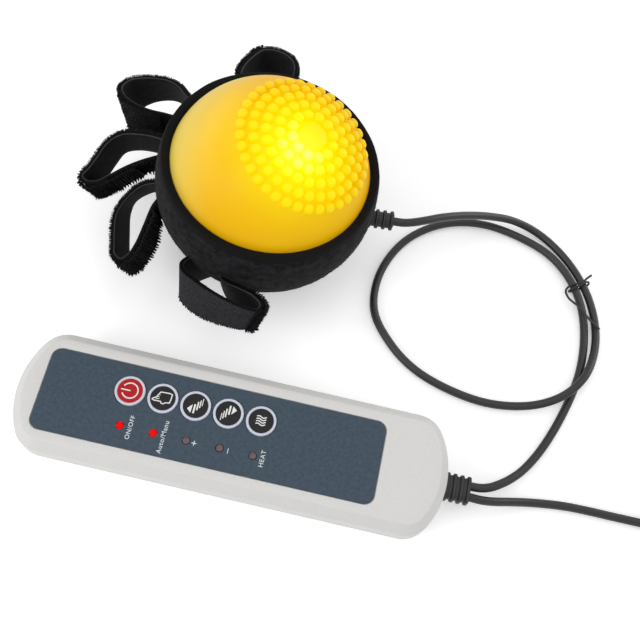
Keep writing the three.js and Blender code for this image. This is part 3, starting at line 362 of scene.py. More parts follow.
spot = raised_bump(spot_profile, 40, 0.25)
bmesh.ops.transform(bm, matrix=field, verts=points_of(spot))
nub = raised_bump(nub_profile, 16, 1)
for ring_index in range(nub_rings):
    nub_count = nubs_per_ring_step * (ring_index + 2)
    nub_lean = (first_ring_arc + ring_step_arc * ring_index) / ball_radius
    for nub_index in range(nub_count):
        turn = 2 * math.pi * nub_index / nub_count
        turn_to_place = field @ Matrix.Rotation(turn, 4, "Z") @ Matrix.Rotation(nub_lean, 4, "Y")
        copy = bmesh.ops.duplicate(bm, geom=nub)["geom"]
        bmesh.ops.transform(bm, matrix=turn_to_place, verts=points_of(copy))
bmesh.ops.delete(bm, geom=points_of(nub), context="VERTS")
bmesh.ops.transform(bm, matrix=ball_place, verts=bm.verts)

# Painted glow: the light of the lamps inside is painted on the dome as emission, fading with distance from a
# point over them. The dome's yellow is made darker near that point, so that the painted glow gives most of
# its colour there.
glow_place = Vector((0.0133, -0.0083, 0.0416 + ball_z))
dome_yellow = bpy.data.materials.new("dome_elastomer")
dome_yellow.use_nodes = True
tree = dome_yellow.node_tree
place = output_of(tree, "TexCoord", "Object", {})
away = output_of(tree, "VectorMath", "Value", {0: place, 1: glow_place}, operation="DISTANCE")
cloud = output_of(tree, "TexNoise", "Fac", {"Vector": place, "Scale": 45, "Detail": 3})
wander = output_of(tree, "Math", "Value", {0: cloud, 1: 0.006, 2: away}, operation="MULTIPLY_ADD")
reach = output_of(tree, "MapRange", "Result", {"Value": wander, "From Max": 0.08})
skin = ramp(tree, reach, [
    (0.14, (0.3, 0.17, 0)), (0.26, (0.34, 0.19, 0)), (0.42, (0.55, 0.3, 0)), (0.56, (0.75, 0.41, 0)),
    (0.72, (0.83, 0.47, 0.006)),
])
# Painted reflection of a soft light: the dome's colour turns pale cream towards its left side.
toward_left = output_of(tree, "VectorMath", "Value", {0: place, 1: (-1, 0.2, 0)}, operation="DOT_PRODUCT")
left_reflection_share = output_of(
    tree, "MapRange", "Result", {"Value": toward_left, "From Min": 0.006, "From Max": 0.036},
    interpolation_type="SMOOTHSTEP",
)
glow = ramp(tree, reach, [
    (0.05, (0.78, 0.88, 0.03)), (0.14, (0.76, 0.78, 0)), (0.26, (0.68, 0.56, 0)), (0.42, (0.4, 0.25, 0)),
    (0.56, (0.14, 0.07, 0)), (0.72, (0, 0, 0)),
])
# Painted highlights on the nubs: emission that grows towards each nub's top, all over the dome, and whiter
# near the middle of the glow.
nub_share = output_of(tree, "Attribute", "Fac", {}, attribute_name="nub_share")
tip = output_of(tree, "Math", "Value", {0: nub_share, 1: 2.6}, operation="POWER")
near = output_of(tree, "MapRange", "Result", {
    "Value": away, "From Min": 0.004, "From Max": 0.012, "To Min": 1, "To Max": 0,
})
near_glow_tip_highlight = output_of(tree, "Math", "Value", {0: tip, 1: near}, operation="MULTIPLY")
glow_and_tip_highlights = mixed(tree, near_glow_tip_highlight, glow, (0.88, 0.98, 0.22, 1))
pores = output_of(tree, "TexNoise", "Fac", {"Vector": place, "Scale": 900})
wire(tree, tree.nodes["Principled BSDF"], {
    "Base Color": mixed(tree, left_reflection_share, skin, (0.81, 0.6, 0.095, 1)),
    "Emission Color": mixed(tree, tip, glow_and_tip_highlights, (0.05, 0.15, 0, 1), "ADD"),
    "Emission Strength": 1,
    "Roughness": 0.45,
    "Specular IOR Level": 0.16,
    "Normal": output_of(tree, "Bump", "Normal", {"Height": pores, "Distance": 0.00002}),
})
dome = piece("dome_skin", bm, [dome_yellow])
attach(dome, "root")
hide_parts("massage_dome")

# Cover cup
# A black cup of plush-faced foam, sewn to hold the ball to above its middle. It is flat where it stands on
# the table, and its mouth leans towards the cord.
cover_radius = 0.048
rest_radius = 0.008
rim_angle = math.radians(70.6)
rim_tilt = math.radians(5)
rim_azimuth = math.radians(18)
binding_width = 0.0034
cup_mouth = rim_angle + 0.8 * binding_width / cover_radius
rest_angle = math.pi - math.asin(rest_radius / cover_radius)
inner_radius = 0.0448
lean_fades_over = math.radians(30)


def leaned(share):
    """A turn that dips the cup's mouth towards the cord, in full at a share of 1."""
    about = Matrix.Rotation(rim_azimuth, 4, "Z")
    return about @ Matrix.Rotation(rim_tilt * share, 4, "Y") @ about.inverted()


bm = bmesh.new()
cup_profile = [(0, -ball_z + 0.0001)] + ball_arc(cover_radius, rest_angle, cup_mouth, 90)
cup_profile += ball_arc(inner_radius, cup_mouth, math.pi, 60)
turned(bm, cup_profile, 180)
for vert in bm.verts:
    polar = math.acos(vert.co.z / vert.co.length)
    if polar < cup_mouth + lean_fades_over:
        vert.co = leaned(min((cup_mouth + lean_fades_over - polar) / lean_fades_over, 1)) @ vert.co
    lift = noise.fractal(vert.co * 260, 0.8, 2.2, 4) * 0.00016
    fold = noise.noise(vert.co * 42) * 0.0003
    if vert.co.z > -ball_z + 0.0015 and vert.co.length > inner_radius + 0.001:
        vert.co += vert.co.normalized() * (lift + fold)
bmesh.ops.transform(bm, matrix=ball_place, verts=bm.verts)
plush = surface(
    "cover_plush", (9, 9, 10), (36, 36, 39), 0.0032, 0.95, 0.0005, rough_change=0.05, detail=12, specular=0.1,
    sockets={"Sheen Weight": 0.04, "Sheen Roughness": 0.5},
)
cup = piece("cover_cup_plush", bm, [plush])
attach(cup, "root")
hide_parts("cover_cup")


# Pile on the cover
# Short loose fibres of the plush, knitted into its backing. They stand off its face at all angles and break
# up the cup's outline.
def any_way():
    """A random vector of up to 1 each way."""
    return Vector([random.uniform(-1, 1) for _ in range(3)])


def tuft(bm, root, along, across, length, width, bend):
    """A tapering hair of two joints, three sided at its root."""
    side = along.cross(across).normalized()
    corners = []
    for k in range(3):
        angle = 2 * math.pi * k / 3
        corners.append(root + (across * math.cos(angle) + side * math.sin(angle)) * width / 2)
    knee = root + along * length * 0.55
    low = [bm.verts.new(corner) for corner in corners]
    mid = [bm.verts.new(knee + (corner - root) * 0.7) for corner in corners]
    top = bm.verts.new(root + along * length + bend)
    for k in range(3):
        n = (k + 1) % 3
        bm.faces.new((low[k], low[n], mid[n], mid[k]))
        bm.faces.new((mid[k], mid[n], top))


random.seed(11)
hair_count = 5200
hair_width = 0.00018
mouth_axis = leaned(1) @ Vector((0, 0, 1))
binding_low = rim_angle + binding_width / cover_radius
bm = bmesh.new()
for _ in range(hair_count):
    polar = math.acos(random.uniform(math.cos(math.radians(160)), math.cos(math.radians(70))))
    turn = random.uniform(0, 2 * math.pi)
    out = Vector((math.sin(polar) * math.cos(turn), math.sin(polar) * math.sin(turn), math.cos(polar)))
    root = out * (cover_radius - 0.0001) + Vector((0, 0, ball_z))
    lean = any_way()
    along = (out + lean * 0.7).normalized()
    across = along.orthogonal().normalized()
    if root.z > 0.004 and mouth_axis.angle(out) > binding_low + math.radians(0.8):
        tuft(bm, root, along, across, random.uniform(0.0003, 0.0008), hair_width, lean * 0.0002)
fibre = surface(
    "pile_fibre", (4, 4, 5), (40, 40, 44), 0.0007, 0.9, 0.0001, rough_change=0.05, specular=0.15
)
cup_pile = piece("cover_cup_pile", bm, [fibre])
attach(cup_pile, "root")

# Rim binding
# A plain rounded band of woven tape, folded over the cup's edge and sewn round its mouth, smoother than the
# plush.
binding_inner = 0.0447
binding_outer = cover_radius + 0.0004
bm = bmesh.new()
binding_middle = (binding_inner + binding_outer) / 2
half_thick = (binding_outer - binding_inner) / 2
binding_places = []
for i in range(9):
    angle = math.pi * i / 8
    polar = rim_angle + 0.012 - 0.016 * math.sin(angle)
    binding_places.append((polar, binding_middle - half_thick * math.cos(angle)))
rim_to_low = binding_low - rim_angle
binding_places += [(rim_angle + rim_to_low * share, binding_outer) for share in (0.35, 0.7, 0.9)]
binding_places += [(binding_low, binding_outer - 0.0006), (binding_low, binding_inner), binding_places[0]]
binding_profile = [(radius * math.sin(polar), radius * math.cos(polar)) for polar, radius in binding_places]
turned(bm, binding_profile, 200)
for vert in bm.verts:
    if vert.co.length > binding_inner + 0.001:
        vert.co += vert.co.normalized() * noise.noise(vert.co * 90) * 0.00015
bmesh.ops.transform(bm, matrix=ball_place @ leaned(1), verts=bm.verts)
binding_cloth = surface(
    "binding_cloth", (7, 7, 8), (17, 17, 18), 0.0007, 0.85, 0.00012, rough_change=0.05, specular=0.15
)
binding = piece("rim_binding_band", bm, [binding_cloth])
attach(binding, "root")
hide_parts("rim_binding")

# Finger loops
# Five nylon hook-and-loop straps bent to loops, whose ends are sewn to the cup. Each is a band between its
# upper and lower edge lines, given as shares of the loop's reach and breadth, with a fuzzy pile outside and a
# smooth dark face inside. Hangs say how far the lower edge drops, as shares of half the strap's width.
strap_width = 0.018
strap_thickness = 0.002
strap_sunk = 0.0012
hook_clearance = 0.0004
hook_thickness = 0.0008
finger_loops = [
    dict(
        azimuth=98, latitude=-10, lean=15, lean_azimuth=101, reach=0.029, breadth=0.0255,
        hook_shares=(0.6, 0.9),
        upper_shares=[
            (-0.1, -0.2), (0.26, -0.27), (0.55, -0.3), (0.74, -0.25), (0.88, -0.13), (0.97, 0.04),
            (1, 0.22), (0.95, 0.38), (0.82, 0.49), (0.58, 0.63), (0.29, 0.71), (-0.1, 0.68),
        ],
    ),
    dict(
        azimuth=146, latitude=-10, lean=17, lean_azimuth=119, reach=0.037, breadth=0.022,
        hook_shares=(0.6, 0.85),
        upper_shares=[
            (-0.08, -0.09), (0.24, -0.17), (0.46, -0.26), (0.65, -0.23), (0.8, -0.09), (0.92, 0.09),
            (1, 0.32), (0.98, 0.56), (0.9, 0.7), (0.71, 0.78), (0.5, 0.76), (0.34, 0.69), (0.17, 0.56),
            (0, 0.44), (-0.1, 0.3),
        ],
        lower_shares=[
            (-0.08, -0.12), (0.48, -0.54), (0.78, -0.52), (0.95, -0.22), (0.99, 0.2),
            (0.93, 0.55), (0.82, 0.66), (0.62, 0.68), (0.4, 0.56), (0.18, 0.36),
            (-0.1, 0.28),
        ],
    ),
    dict(
        azimuth=172, latitude=-10, lean=18, lean_azimuth=213, reach=0.031, breadth=0.032,
        hook_shares=(0.6, 0.9),
        upper_shares=[
            (-0.1, -0.12), (0.19, -0.13), (0.44, -0.1), (0.63, -0.05), (0.76, 0.05), (0.84, 0.19),
            (0.88, 0.37), (0.93, 0.56), (0.98, 0.71), (0.87, 0.78), (0.68, 0.73), (0.56, 0.62),
            (0.38, 0.44), (0.19, 0.29), (-0.1, 0.11),
        ],
        lower_shares=[
            (-0.1, -0.13), (0.33, -0.12), (0.64, -0.08), (0.84, 0.02), (0.92, 0.26),
            (0.97, 0.54), (0.97, 0.72), (0.86, 0.66), (0.68, 0.5), (0.4, 0.22),
            (-0.14, 0.04),
        ],
    ),
    dict(
        azimuth=203, latitude=-10, lean=25, lean_azimuth=216, reach=0.021, breadth=0.031,
        hook_shares=(0.6, 0.9),
        upper_shares=[
            (-0.3, -0.19), (0.1, -0.23), (0.38, -0.17), (0.63, -0.06), (0.81, 0.08), (0.9, 0.28),
            (0.95, 0.5), (0.97, 0.65), (0.83, 0.76), (0.63, 0.73), (0.42, 0.6), (0.17, 0.36),
            (-0.08, 0.12), (-0.4, -0.02),
        ],
        lower_shares=[
            (-0.3, -0.26), (0.24, -0.38), (0.73, -0.32), (0.91, -0.15), (1, 0.14),
            (1.06, 0.44), (1.05, 0.69), (0.77, 0.63), (0.46, 0.4), (0.26, 0.09),
            (-0.35, -0.08),
        ],
    ),
    dict(
        azimuth=247, latitude=-20, lean=31, lean_azimuth=78, reach=0.019, breadth=0.04,
        hook_shares=(0.65, 0.9),
        upper_shares=[
            (-0.3, 0.02), (0.15, -0.06), (0.45, -0.12), (0.75, -0.09), (0.92, 0.02), (0.96, 0.2),
            (0.98, 0.4), (0.94, 0.6), (0.84, 0.77), (0.68, 0.88), (0.45, 0.85), (0.32, 0.7), (0.37, 0.53),
            (0.44, 0.36), (0.02, 0.11),
        ],
        lower_shares=[
            (-1.04, -0.03), (-0.03, -0.11), (0.55, -0.06), (0.75, 0.09), (0.78, 0.31),
            (0.69, 0.55), (0.58, 0.75), (0.44, 0.8), (0.19, 0.56),
            (-0.21, 0.27), (-0.95, -0.08),
        ],
        hangs=[1, 1, 1, 1, 1, 0.85, 0.6, 0.42, 0.6, 0.75, 0.85],
    ),
]


def loop_space(finger):
    """The loop's own axes: out from the cup, along the cup, and up along the strap's width."""
    lean, lean_azimuth, azimuth, latitude = (
        math.radians(finger[key]) for key in ("lean", "lean_azimuth", "azimuth", "latitude")
    )
    normal = Vector(
        (math.sin(lean) * math.cos(lean_azimuth), math.sin(lean) * math.sin(lean_azimuth), math.cos(lean))
    )
    radial = Vector((math.cos(azimuth), math.sin(azimuth), 0))
    out = (radial - normal * radial.dot(normal)).normalized()
    side = normal.cross(out)
    root = radial * cover_radius * math.cos(latitude)
    root.z = ball_z + cover_radius * math.sin(latitude)
    space = Matrix.Identity(4)
    for column, axis in enumerate((out, side, normal, root)):
        for row in range(3):
            space[row][column] = axis[row]
    return space


def edge_lines(finger):
    """The places of the strap's upper and lower edge. A loop without a lower table hangs straight down."""
    lower_shares = finger.get("lower_shares", finger["upper_shares"])
    upper_rises = [1] * len(finger["upper_shares"])
    lower_rises = [-hang for hang in finger.get("hangs", [1] * len(lower_shares))]
    return [
        [
            Vector((out * finger["reach"], side * finger["breadth"], rise * strap_width / 2))
            for (out, side), rise in zip(shares, rises)
        ]
        for shares, rises in ((finger["upper_shares"], upper_rises), (lower_shares, lower_rises))
    ]


def beside(line, share, offset):
    """A point beside an edge line, that far outside the strap's middle, and the outward direction there."""
    ahead = spline_point(line, min(share + 0.002, 1)) - spline_point(line, max(share - 0.002, 0))
    outward = Vector((ahead.y, -ahead.x, 0)).normalized()
    return spline_point(line, share) + outward * offset, outward


def edges_of(bm, ring):
    """The edges round a closed ring of points."""
    return [bm.edges.get(pair) for pair in zip(ring, ring[1:] + ring[:1])]


def drawn_out(bm, rings):
    """Extrudes a closed ring of points from place to place, and returns its points at each place."""
    made = [[bm.verts.new(point) for point in rings[0]]]
    for pair in zip(made[0], made[0][1:] + made[0][:1]):
        bm.edges.new(pair)
    for ring in rings[1:]:
        grown = set(bmesh.ops.extrude_edge_only(bm, edges=edges_of(bm, made[-1]))["geom"])
        followers = []
        for vert, place in zip(made[-1], ring):
            beyond = [edge.other_vert(vert) for edge in vert.link_edges]
            follower = next(other for other in beyond if other in grown)
            follower.co = place
            followers.append(follower)
        made.append(followers)
        for item in grown:
            if isinstance(item, bmesh.types.BMFace):
                item.smooth = True
    return made


def band(bm, finger, outline, first, last, steps):
    """Runs a cross-section of [share across, offset] pairs along a strap, its upper edge at share 0."""
    space = loop_space(finger)
    upper, lower = edge_lines(finger)
    middle = Vector((0, 0, ball_z))
    rings = []
    for step in range(steps + 1):
        share = first + (last - first) * step / steps
        ring = []
        for across, offset in outline:
            high, _ = beside(upper, share, offset)
            low, _ = beside(lower, share, offset)
            away = space @ (high + (low - high) * across) - middle
            ring.append(middle + away.normalized() * max(away.length, cover_radius - strap_sunk))
        rings.append(ring)
    lay = bm.verts.layers.float_vector.new("tape_lay")
    made = drawn_out(bm, rings)
    for ring in (made[0], made[-1]):
        bmesh.ops.edgeloop_fill(bm, edges=edges_of(bm, ring))
    length = run_length([ring[0] for ring in rings])
    for step, ring in enumerate(made):
        for (across, offset), vert in zip(outline, ring):
            vert[lay] = Vector((length * step / steps, across * strap_width, offset)) * 1000
    return lay


# Materials of the tapes: the pile outside, the smooth inner face, the pale edge line, the woven back and the
# hooks. The last two read the layer that gives each point's place on the tape in millimetres.
tape_pile = surface(
    "tape_pile", (2, 2, 3), (24, 24, 27), 0.0008, 0.95, 0.0008, rough_change=0.04, detail=10, specular=0.1
)
tape_face = surface(
    "tape_inner_face", (13, 13, 14), (25, 25, 27), 0.003, 0.85, 0.00008, rough_change=0.05, specular=0.2
)
tape_edge = surface("tape_edge_line", (34, 34, 36), (62, 62, 65), 0.0006, 0.8, 0.0001)


def weave(material, kind, height, tilt, sockets, depth, hollow_shade_share):
    """Raises a texture, turned by the tilt in degrees, on the tape, and paints shade in its hollows by that
    share.
    """
    tree = material.node_tree
    shader = tree.nodes["Principled BSDF"]
    grain_normal = shader.inputs["Normal"].links[0].from_socket
    grain_colour = shader.inputs["Base Color"].links[0].from_socket
    lay = output_of(tree, "Attribute", "Vector", {}, attribute_name="tape_lay")
    turned_lay = output_of(tree, "Mapping", "Vector", {"Vector": lay, "Rotation": (0, 0, math.radians(tilt))})
    texture = output_of(tree, kind, height, {"Vector": turned_lay, **sockets})
    raised = {"Distance": depth, "Strength": 1, "Height": texture, "Normal": grain_normal}
    wire(tree, shader, {
        "Normal": output_of(tree, "Bump", "Normal", raised),
        "Base Color": mixed(tree, hollow_shade_share, grain_colour, texture, "MULTIPLY"),
    })


tape_woven = surface("tape_woven_face", (44, 44, 48), (66, 66, 71), 0.0012, 0.9, 0.0001, specular=0.2)
weave(tape_woven, "TexWave", "Fac", 58, {"Scale": 0.28, "Distortion": 1.2, "Detail": 2}, 0.0004, 0.72)
hook_face = surface("hook_face", (5, 5, 6), (18, 18, 20), 0.0006, 0.8, 0.0002, detail=8, specular=0.2)
weave(hook_face, "TexVoronoi", "Distance", 0, {"Scale": 0.9, "Randomness": 0.35}, -0.0006, 0.75)

# Clumps of pile stand on the outside and fringe the edges, longest below. The front loop turns its woven
# back outwards, so it has pile at its edges and its two ends alone.
clump_pitch = 0.00115
fringe_rows = 3


def clump(bm, foot, aim, length, spread, hairs, width):
    """A few hairs that start apart and meet at one tip."""
    tip = foot + aim * length
    for _ in range(hairs):
        scatter = any_way()
        start = foot + scatter * spread
        along = tip + scatter * spread * 0.35 - start
        across = along.orthogonal().normalized()
        tuft(bm, start, along.normalized(), across, along.length, width, scatter * 0.00012)


random.seed(5)
for index, finger in enumerate(finger_loops):
    half = strap_thickness / 2
    is_front = index == 4
    outer_shares = [i / 8 for i in range(9)]
    outline = [(0, half * 0.5), *((0.02 + 0.96 * share, half) for share in outer_shares), (1, half * 0.5)]
    outline += [(1, -half * 0.5), *((0.98 - 0.96 * share, -half) for share in outer_shares), (0, -half * 0.6)]
    bm = bmesh.new()
    lay = band(bm, finger, outline, 0, 1, 110)
    for face in bm.faces:
        places = [vert[lay] for vert in face.verts]
        depth = sum(place.z for place in places) / len(places) / (half * 1000)
        across = sum(place.y for place in places) / len(places)
        if depth > 0.999:
            face.material_index = 3 if is_front else 0
        elif depth < -0.9:
            face.material_index = 1
        elif across < 0.5 and depth < -0.5:
            face.material_index = 2
    strap = piece(f"finger_strap_{index + 1}_tape", bm, [tape_pile, tape_face, tape_edge, tape_woven])
    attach(strap, "root")
    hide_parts(f"finger_strap_{index + 1}")

    # The hook tape lies on the outside of the returning leg
    first, last = finger["hook_shares"]
    bm = bmesh.new()
    low = half + hook_clearance
    high = low + hook_thickness
    hook_outline = [(0.03, high), *((0.06 + 0.88 * i / 6, high) for i in range(7)), (0.97, high)]
    hook_outline += [(0.97, low), (0.03, low)]
    band(bm, finger, hook_outline, first, last, 40)
    hook = piece(f"finger_hook_{index + 1}_tape", bm, [hook_face])
    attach(hook, "root")
    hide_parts(f"finger_hook_{index + 1}")

    # The pile's clumps, row by row along the strap, over the hook tape too
    space = loop_space(finger)
    turn_only = space.to_3x3()
    upper, lower = edge_lines(finger)
    outer_length = run_length([beside(lower, i / 60, half)[0] for i in range(61)])
    rows = round(outer_length / clump_pitch)
    columns = round(strap_width / clump_pitch)
    bm = bmesh.new()
    for row in range(rows):
        row_share = (row + 0.5) / rows
        on_hook = first < row_share < last
        hook_top = half + hook_clearance + hook_thickness
        skin_offset = hook_top - 0.0001 if on_hook else half * 0.9
        at_end = row_share < 0.06 or 0.62 < row_share < 0.82
        for column in range(-fringe_rows, columns + fringe_rows):
            share = row_share + random.uniform(-0.16, 0.16) / rows
            on_upper, on_lower = column < 0, column >= columns
            across = min(max((column + 0.5 + random.uniform(-0.3, 0.3)) / columns, 0), 1)
            at_corner = on_upper and 0.33 < row_share < 0.42
            inwards = is_front and not on_lower and not at_end and not at_corner
            if inwards and (on_upper or across > 0.4):
                continue
            offset = -half * 0.8 if inwards else skin_offset
            high, outward = beside(upper, share, offset)
            low, _ = beside(lower, share, offset)
            foot = space @ (high + (low - high) * across)
            if (foot - Vector((0, 0, ball_z))).length < cover_radius + 0.0004:
                continue
            edge_out = (high - low).normalized() * (1 if on_upper else -1)
            spill, length = random.uniform(-0.1, 0.2), random.uniform(0.0008, 0.0013)
            hairs, width = 3, 0.00045
            if on_lower:
                foot += turn_only @ (outward * random.uniform(-0.8, 0.1) * half)
                spill, length = random.uniform(0.1, 0.8), random.uniform(0.0008, 0.0018)
                hairs, width = 4, 0.00055
            elif on_upper:
                foot += turn_only @ (outward * random.uniform(-0.7, 0.1) * half)
                spill, length = random.uniform(0.2, 0.9), random.uniform(0.0006, 0.0011)
            elif on_hook and index < 2:
                spill, length, hairs, width = 0, 0.0005, 2, 0.0009
            if is_front:
                length *= 1.35 if at_end or at_corner else 0.25
            sway = any_way() * 0.22
            facing = -outward if inwards else outward
            aim = (turn_only @ (edge_out * spill + facing).normalized() + sway).normalized()
            clump(bm, foot, aim, length, 0.0003, hairs, width)
    pile = piece(f"finger_strap_{index + 1}_pile", bm, [fibre])
    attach(pile, "root")

# Ball strain relief
# A ribbed sleeve of black rubber, moulded on the cord. Its flange is held behind the lower shell's wall, and
# it guides the cord out of the cup.
relief_azimuth = math.radians(4.9)
relief_z = 0.03
rib_radius = 0.0044
neck_radius = 0.0035
rib_count = 4
rib_start = 0.04636
relief_reach = 0.0579
rib_pitch = (relief_reach - rib_start) / (2 * rib_count - 1)
flange_radius = 0.0055
flange_inner = 0.0395
flange_outer = 0.0412
soft = 0.00035
bm = bmesh.new()
profile = [(0, flange_inner), (flange_radius, flange_inner), (flange_radius, flange_outer)]
profile += [(neck_radius, flange_outer)]
for rib in range(rib_count):
    start = rib_start + 2 * rib * rib_pitch
    profile += [
        (neck_radius, start), (rib_radius - soft, start + soft * 0.2), (rib_radius, start + soft),
        (rib_radius, start + rib_pitch - soft), (rib_radius - soft, start + rib_pitch - soft * 0.2),
        (neck_radius, start + rib_pitch),
    ]
profile += [(neck_radius * 0.8, relief_reach + 0.0003)]
profile += [(radius, relief_reach + 0.0004) for radius in (cord_radius, 0)]
turned(bm, profile, 32)
lie = (
    Matrix.Translation((0, 0, relief_z))
    @ Matrix.Rotation(relief_azimuth, 4, "Z")
    @ Matrix.Rotation(math.pi / 2, 4, "Y")
)
bmesh.ops.transform(bm, matrix=lie, verts=bm.verts)
relief_rubber = surface("relief_rubber", (14, 14, 16), (32, 32, 35), 0.0008, 0.5, 0.00003)
ball_relief = piece("ball_strain_relief_sleeve", bm, [relief_rubber], sharp=40)
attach(ball_relief, "root")
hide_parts("ball_strain_relief")

# Handset top case
# The upper half of the long off-white case, moulded in hard plastic and screwed to the lower half from below.
# It is bevelled round its top edge, sunk where the membrane lies, and open under each key and lamp.
handset_x = 0.0107
handset_y = -0.1038
handset_place = Matrix.Translation((handset_x, handset_y, 0))
half_length = 0.092
half_width = 0.026
bow_radius = 0.04
corner_radius = 0.012
parting_z = 0.0095
case_top = 0.021
membrane_half_length = 0.072
membrane_half_width = 0.0178
membrane_corner = 0.0042
membrane_bow = 4.0
membrane_shift = -0.0094
key_pitch = 0.014
key_row_shift = -0.0175
key_row_y = 0.0063
key_radius = 0.0064
led_y = -0.0087
led_radius = 0.0015
clearance = 0.0003
key_xs = [key_row_shift + (i - 2) * key_pitch for i in range(5)]


def outline_ring(length, width, corner, bow, z, shift=0.0, corner_steps=12, bow_steps=24):
    """A closed ring with straight sides, bowed ends and rounded corners, of half length and half width."""
    bow_middle = length - bow
    corner_x = bow_middle + math.sqrt((bow - corner) ** 2 - (width - corner) ** 2)
    corner_y = width - corner
    meet = math.atan2(corner_y, corner_x - bow_middle)
    end = []
    for i in range(corner_steps):
        angle = -math.pi / 2 + (math.pi / 2 - meet) * i / corner_steps
        end.append((corner_x + corner * math.cos(angle), -corner_y + corner * math.sin(angle)))
    for i in range(bow_steps):
        angle = -meet + 2 * meet * i / bow_steps
        end.append((bow_middle + bow * math.cos(angle), bow * math.sin(angle)))
    for i in range(corner_steps + 1):
        angle = meet + (math.pi / 2 - meet) * i / corner_steps
        end.append((corner_x + corner * math.cos(angle), corner_y + corner * math.sin(angle)))
    whole = end + [(-x, -y) for x, y in end]
    return [Vector((x + shift, y, z)) for x, y in whole]


def case_ring(inset, z):
    """The case's outline at that height, drawn in by the inset."""
    return outline_ring(half_length - inset, half_width - inset, corner_radius - inset, bow_radius - inset, z)


def membrane_ring(grow, z):
    """The membrane's outline at that height, grown by that much. Its ends are all but straight."""
    length = membrane_half_length + grow
    width = membrane_half_width + grow
    return outline_ring(length, width, membrane_corner + grow, membrane_bow, z, membrane_shift)


def hole(bm, radius, x, y, high, low, sides):
    """The wall of a round hole. Returns the edges of its upper and its lower rim."""
    place = Matrix.Translation((x, y, high))
    rim = bmesh.ops.create_circle(bm, segments=sides, radius=radius, matrix=place)["verts"]
    upper_edges = list({edge for vert in rim for edge in vert.link_edges})
    grown = bmesh.ops.extrude_edge_only(bm, edges=upper_edges)["geom"]
    lower_rim = {item for item in grown if isinstance(item, bmesh.types.BMVert)}
    bmesh.ops.translate(bm, vec=(0, 0, low - high), verts=list(lower_rim))
    lower_edges = {edge for vert in lower_rim for edge in vert.link_edges}
    return upper_edges, [edge for edge in lower_edges if lower_rim.issuperset(edge.verts)]


def holed_sheet(bm, edges):
    """Fills a flat outline around the round holes in it."""
    bmesh.ops.triangle_fill(bm, use_beauty=True, edges=edges)


face_holes = [(key_radius + clearance, x, key_row_y, 64) for x in key_xs]
face_holes += [(led_radius + clearance, x, led_y, 32) for x in key_xs]
recess_z = 0.0201
recess_under_z = 0.0188
bm = bmesh.new()
outside = [
    case_ring(inset, z)
    for inset, z in (
        (0.0024, 0.01), (0.0024, 0.00965), (0.0003, 0.00965), (0, 0.00995), (0, 0.0168), (0.00005, 0.01715),
        (0.00025, 0.01752), (0.0006, 0.0179), (0.0031, 0.0204), (0.0034, 0.0207), (0.0038, 0.02092),
        (0.0043, case_top),
    )
]
outside += [membrane_ring(0.0006, case_top), membrane_ring(0.0004, case_top - 0.00008)]
outside += [membrane_ring(clearance, z) for z in (0.0207, recess_z)]
made = drawn_out(bm, outside)
inside = drawn_out(bm, [outside[0], case_ring(0.0024, 0.0155), case_ring(0.0052, recess_under_z)])
holes = [hole(bm, radius, x, y, recess_z, recess_under_z, sides) for radius, x, y, sides in face_holes]
holed_sheet(bm, edges_of(bm, made[-1]) + [edge for high, _ in holes for edge in high])
holed_sheet(bm, edges_of(bm, inside[-1]) + [edge for _, low in holes for edge in low])
bmesh.ops.remove_doubles(bm, verts=bm.verts, dist=1e-6)
bmesh.ops.transform(bm, matrix=handset_place, verts=bm.verts)
case_plastic = surface("case_plastic", (214, 213, 211), (221, 220, 218), 0.0004, 0.42, 0.000012, detail=4)
top_case = piece("handset_top_shell", bm, [case_plastic], sharp=28)
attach(top_case, "root")
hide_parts("handset_top_case")

# Handset bottom case
# The lower half, of the same plastic, drawn in towards its flat back, with a thin shadow gap at the parting
# line. Four screws go up through it into the bosses of the upper half.
back_z = 0.00001
screw_hole_radius = 0.0028
screw_hole_top = 0.0019
bm = bmesh.new()
outside = [
    case_ring(inset, z)
    for inset, z in (
        (0.0026, 0.0088), (0.0024, 0.00935), (0.0003, 0.00935), (0, 0.00905), (0, 0.0084), (0.0001, 0.0078),
        (0.0036, 0.0008), (0.0039, 0.00035), (0.0044, 0.0001), (0.005, back_z),
    )
]
made = drawn_out(bm, outside)
screw_holes = [(sx * 0.074, sy * 0.015) for sx in (-1, 1) for sy in (-1, 1)]
holes = [hole(bm, screw_hole_radius, x, y, screw_hole_top, back_z, 32) for x, y in screw_holes]
holed_sheet(bm, edges_of(bm, made[-1]) + [edge for _, low in holes for edge in low])
inside = drawn_out(bm, [outside[0], case_ring(0.0062, 0.0022)])
holed_sheet(bm, edges_of(bm, inside[-1]))
bmesh.ops.remove_doubles(bm, verts=bm.verts, dist=1e-6)
bmesh.ops.transform(bm, matrix=handset_place, verts=bm.verts)
bottom_case = piece("handset_bottom_shell", bm, [case_plastic], sharp=28)
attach(bottom_case, "root")
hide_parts("handset_bottom_case")

# Control membrane
# A thin plastic plate, printed blue-grey and glued in the recess of the case, a hair below its face. The keys
# and lamps look out of its holes.
membrane_top = 0.0209
membrane_under = 0.0204
bm = bmesh.new()
edge_places = ((0, membrane_under), (0, membrane_top - 0.0001), (-0.00012, membrane_top))
made = drawn_out(bm, [membrane_ring(grow, z) for grow, z in edge_places])
holes = [hole(bm, radius, x, y, membrane_top, membrane_under, sides) for radius, x, y, sides in face_holes]
holed_sheet(bm, edges_of(bm, made[-1]) + [edge for high, _ in holes for edge in high])
holed_sheet(bm, edges_of(bm, made[0]) + [edge for _, low in holes for edge in low])
bmesh.ops.transform(bm, matrix=handset_place, verts=bm.verts)
membrane_print = surface(
    "membrane_print", (56, 71, 84), (66, 81, 93), 0.0016, 0.55, 0.00003, detail=8, specular=0.25
)
membrane = piece("control_membrane", bm, [membrane_print], sharp=30)
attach(membrane, "root")
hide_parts("control_overlay")

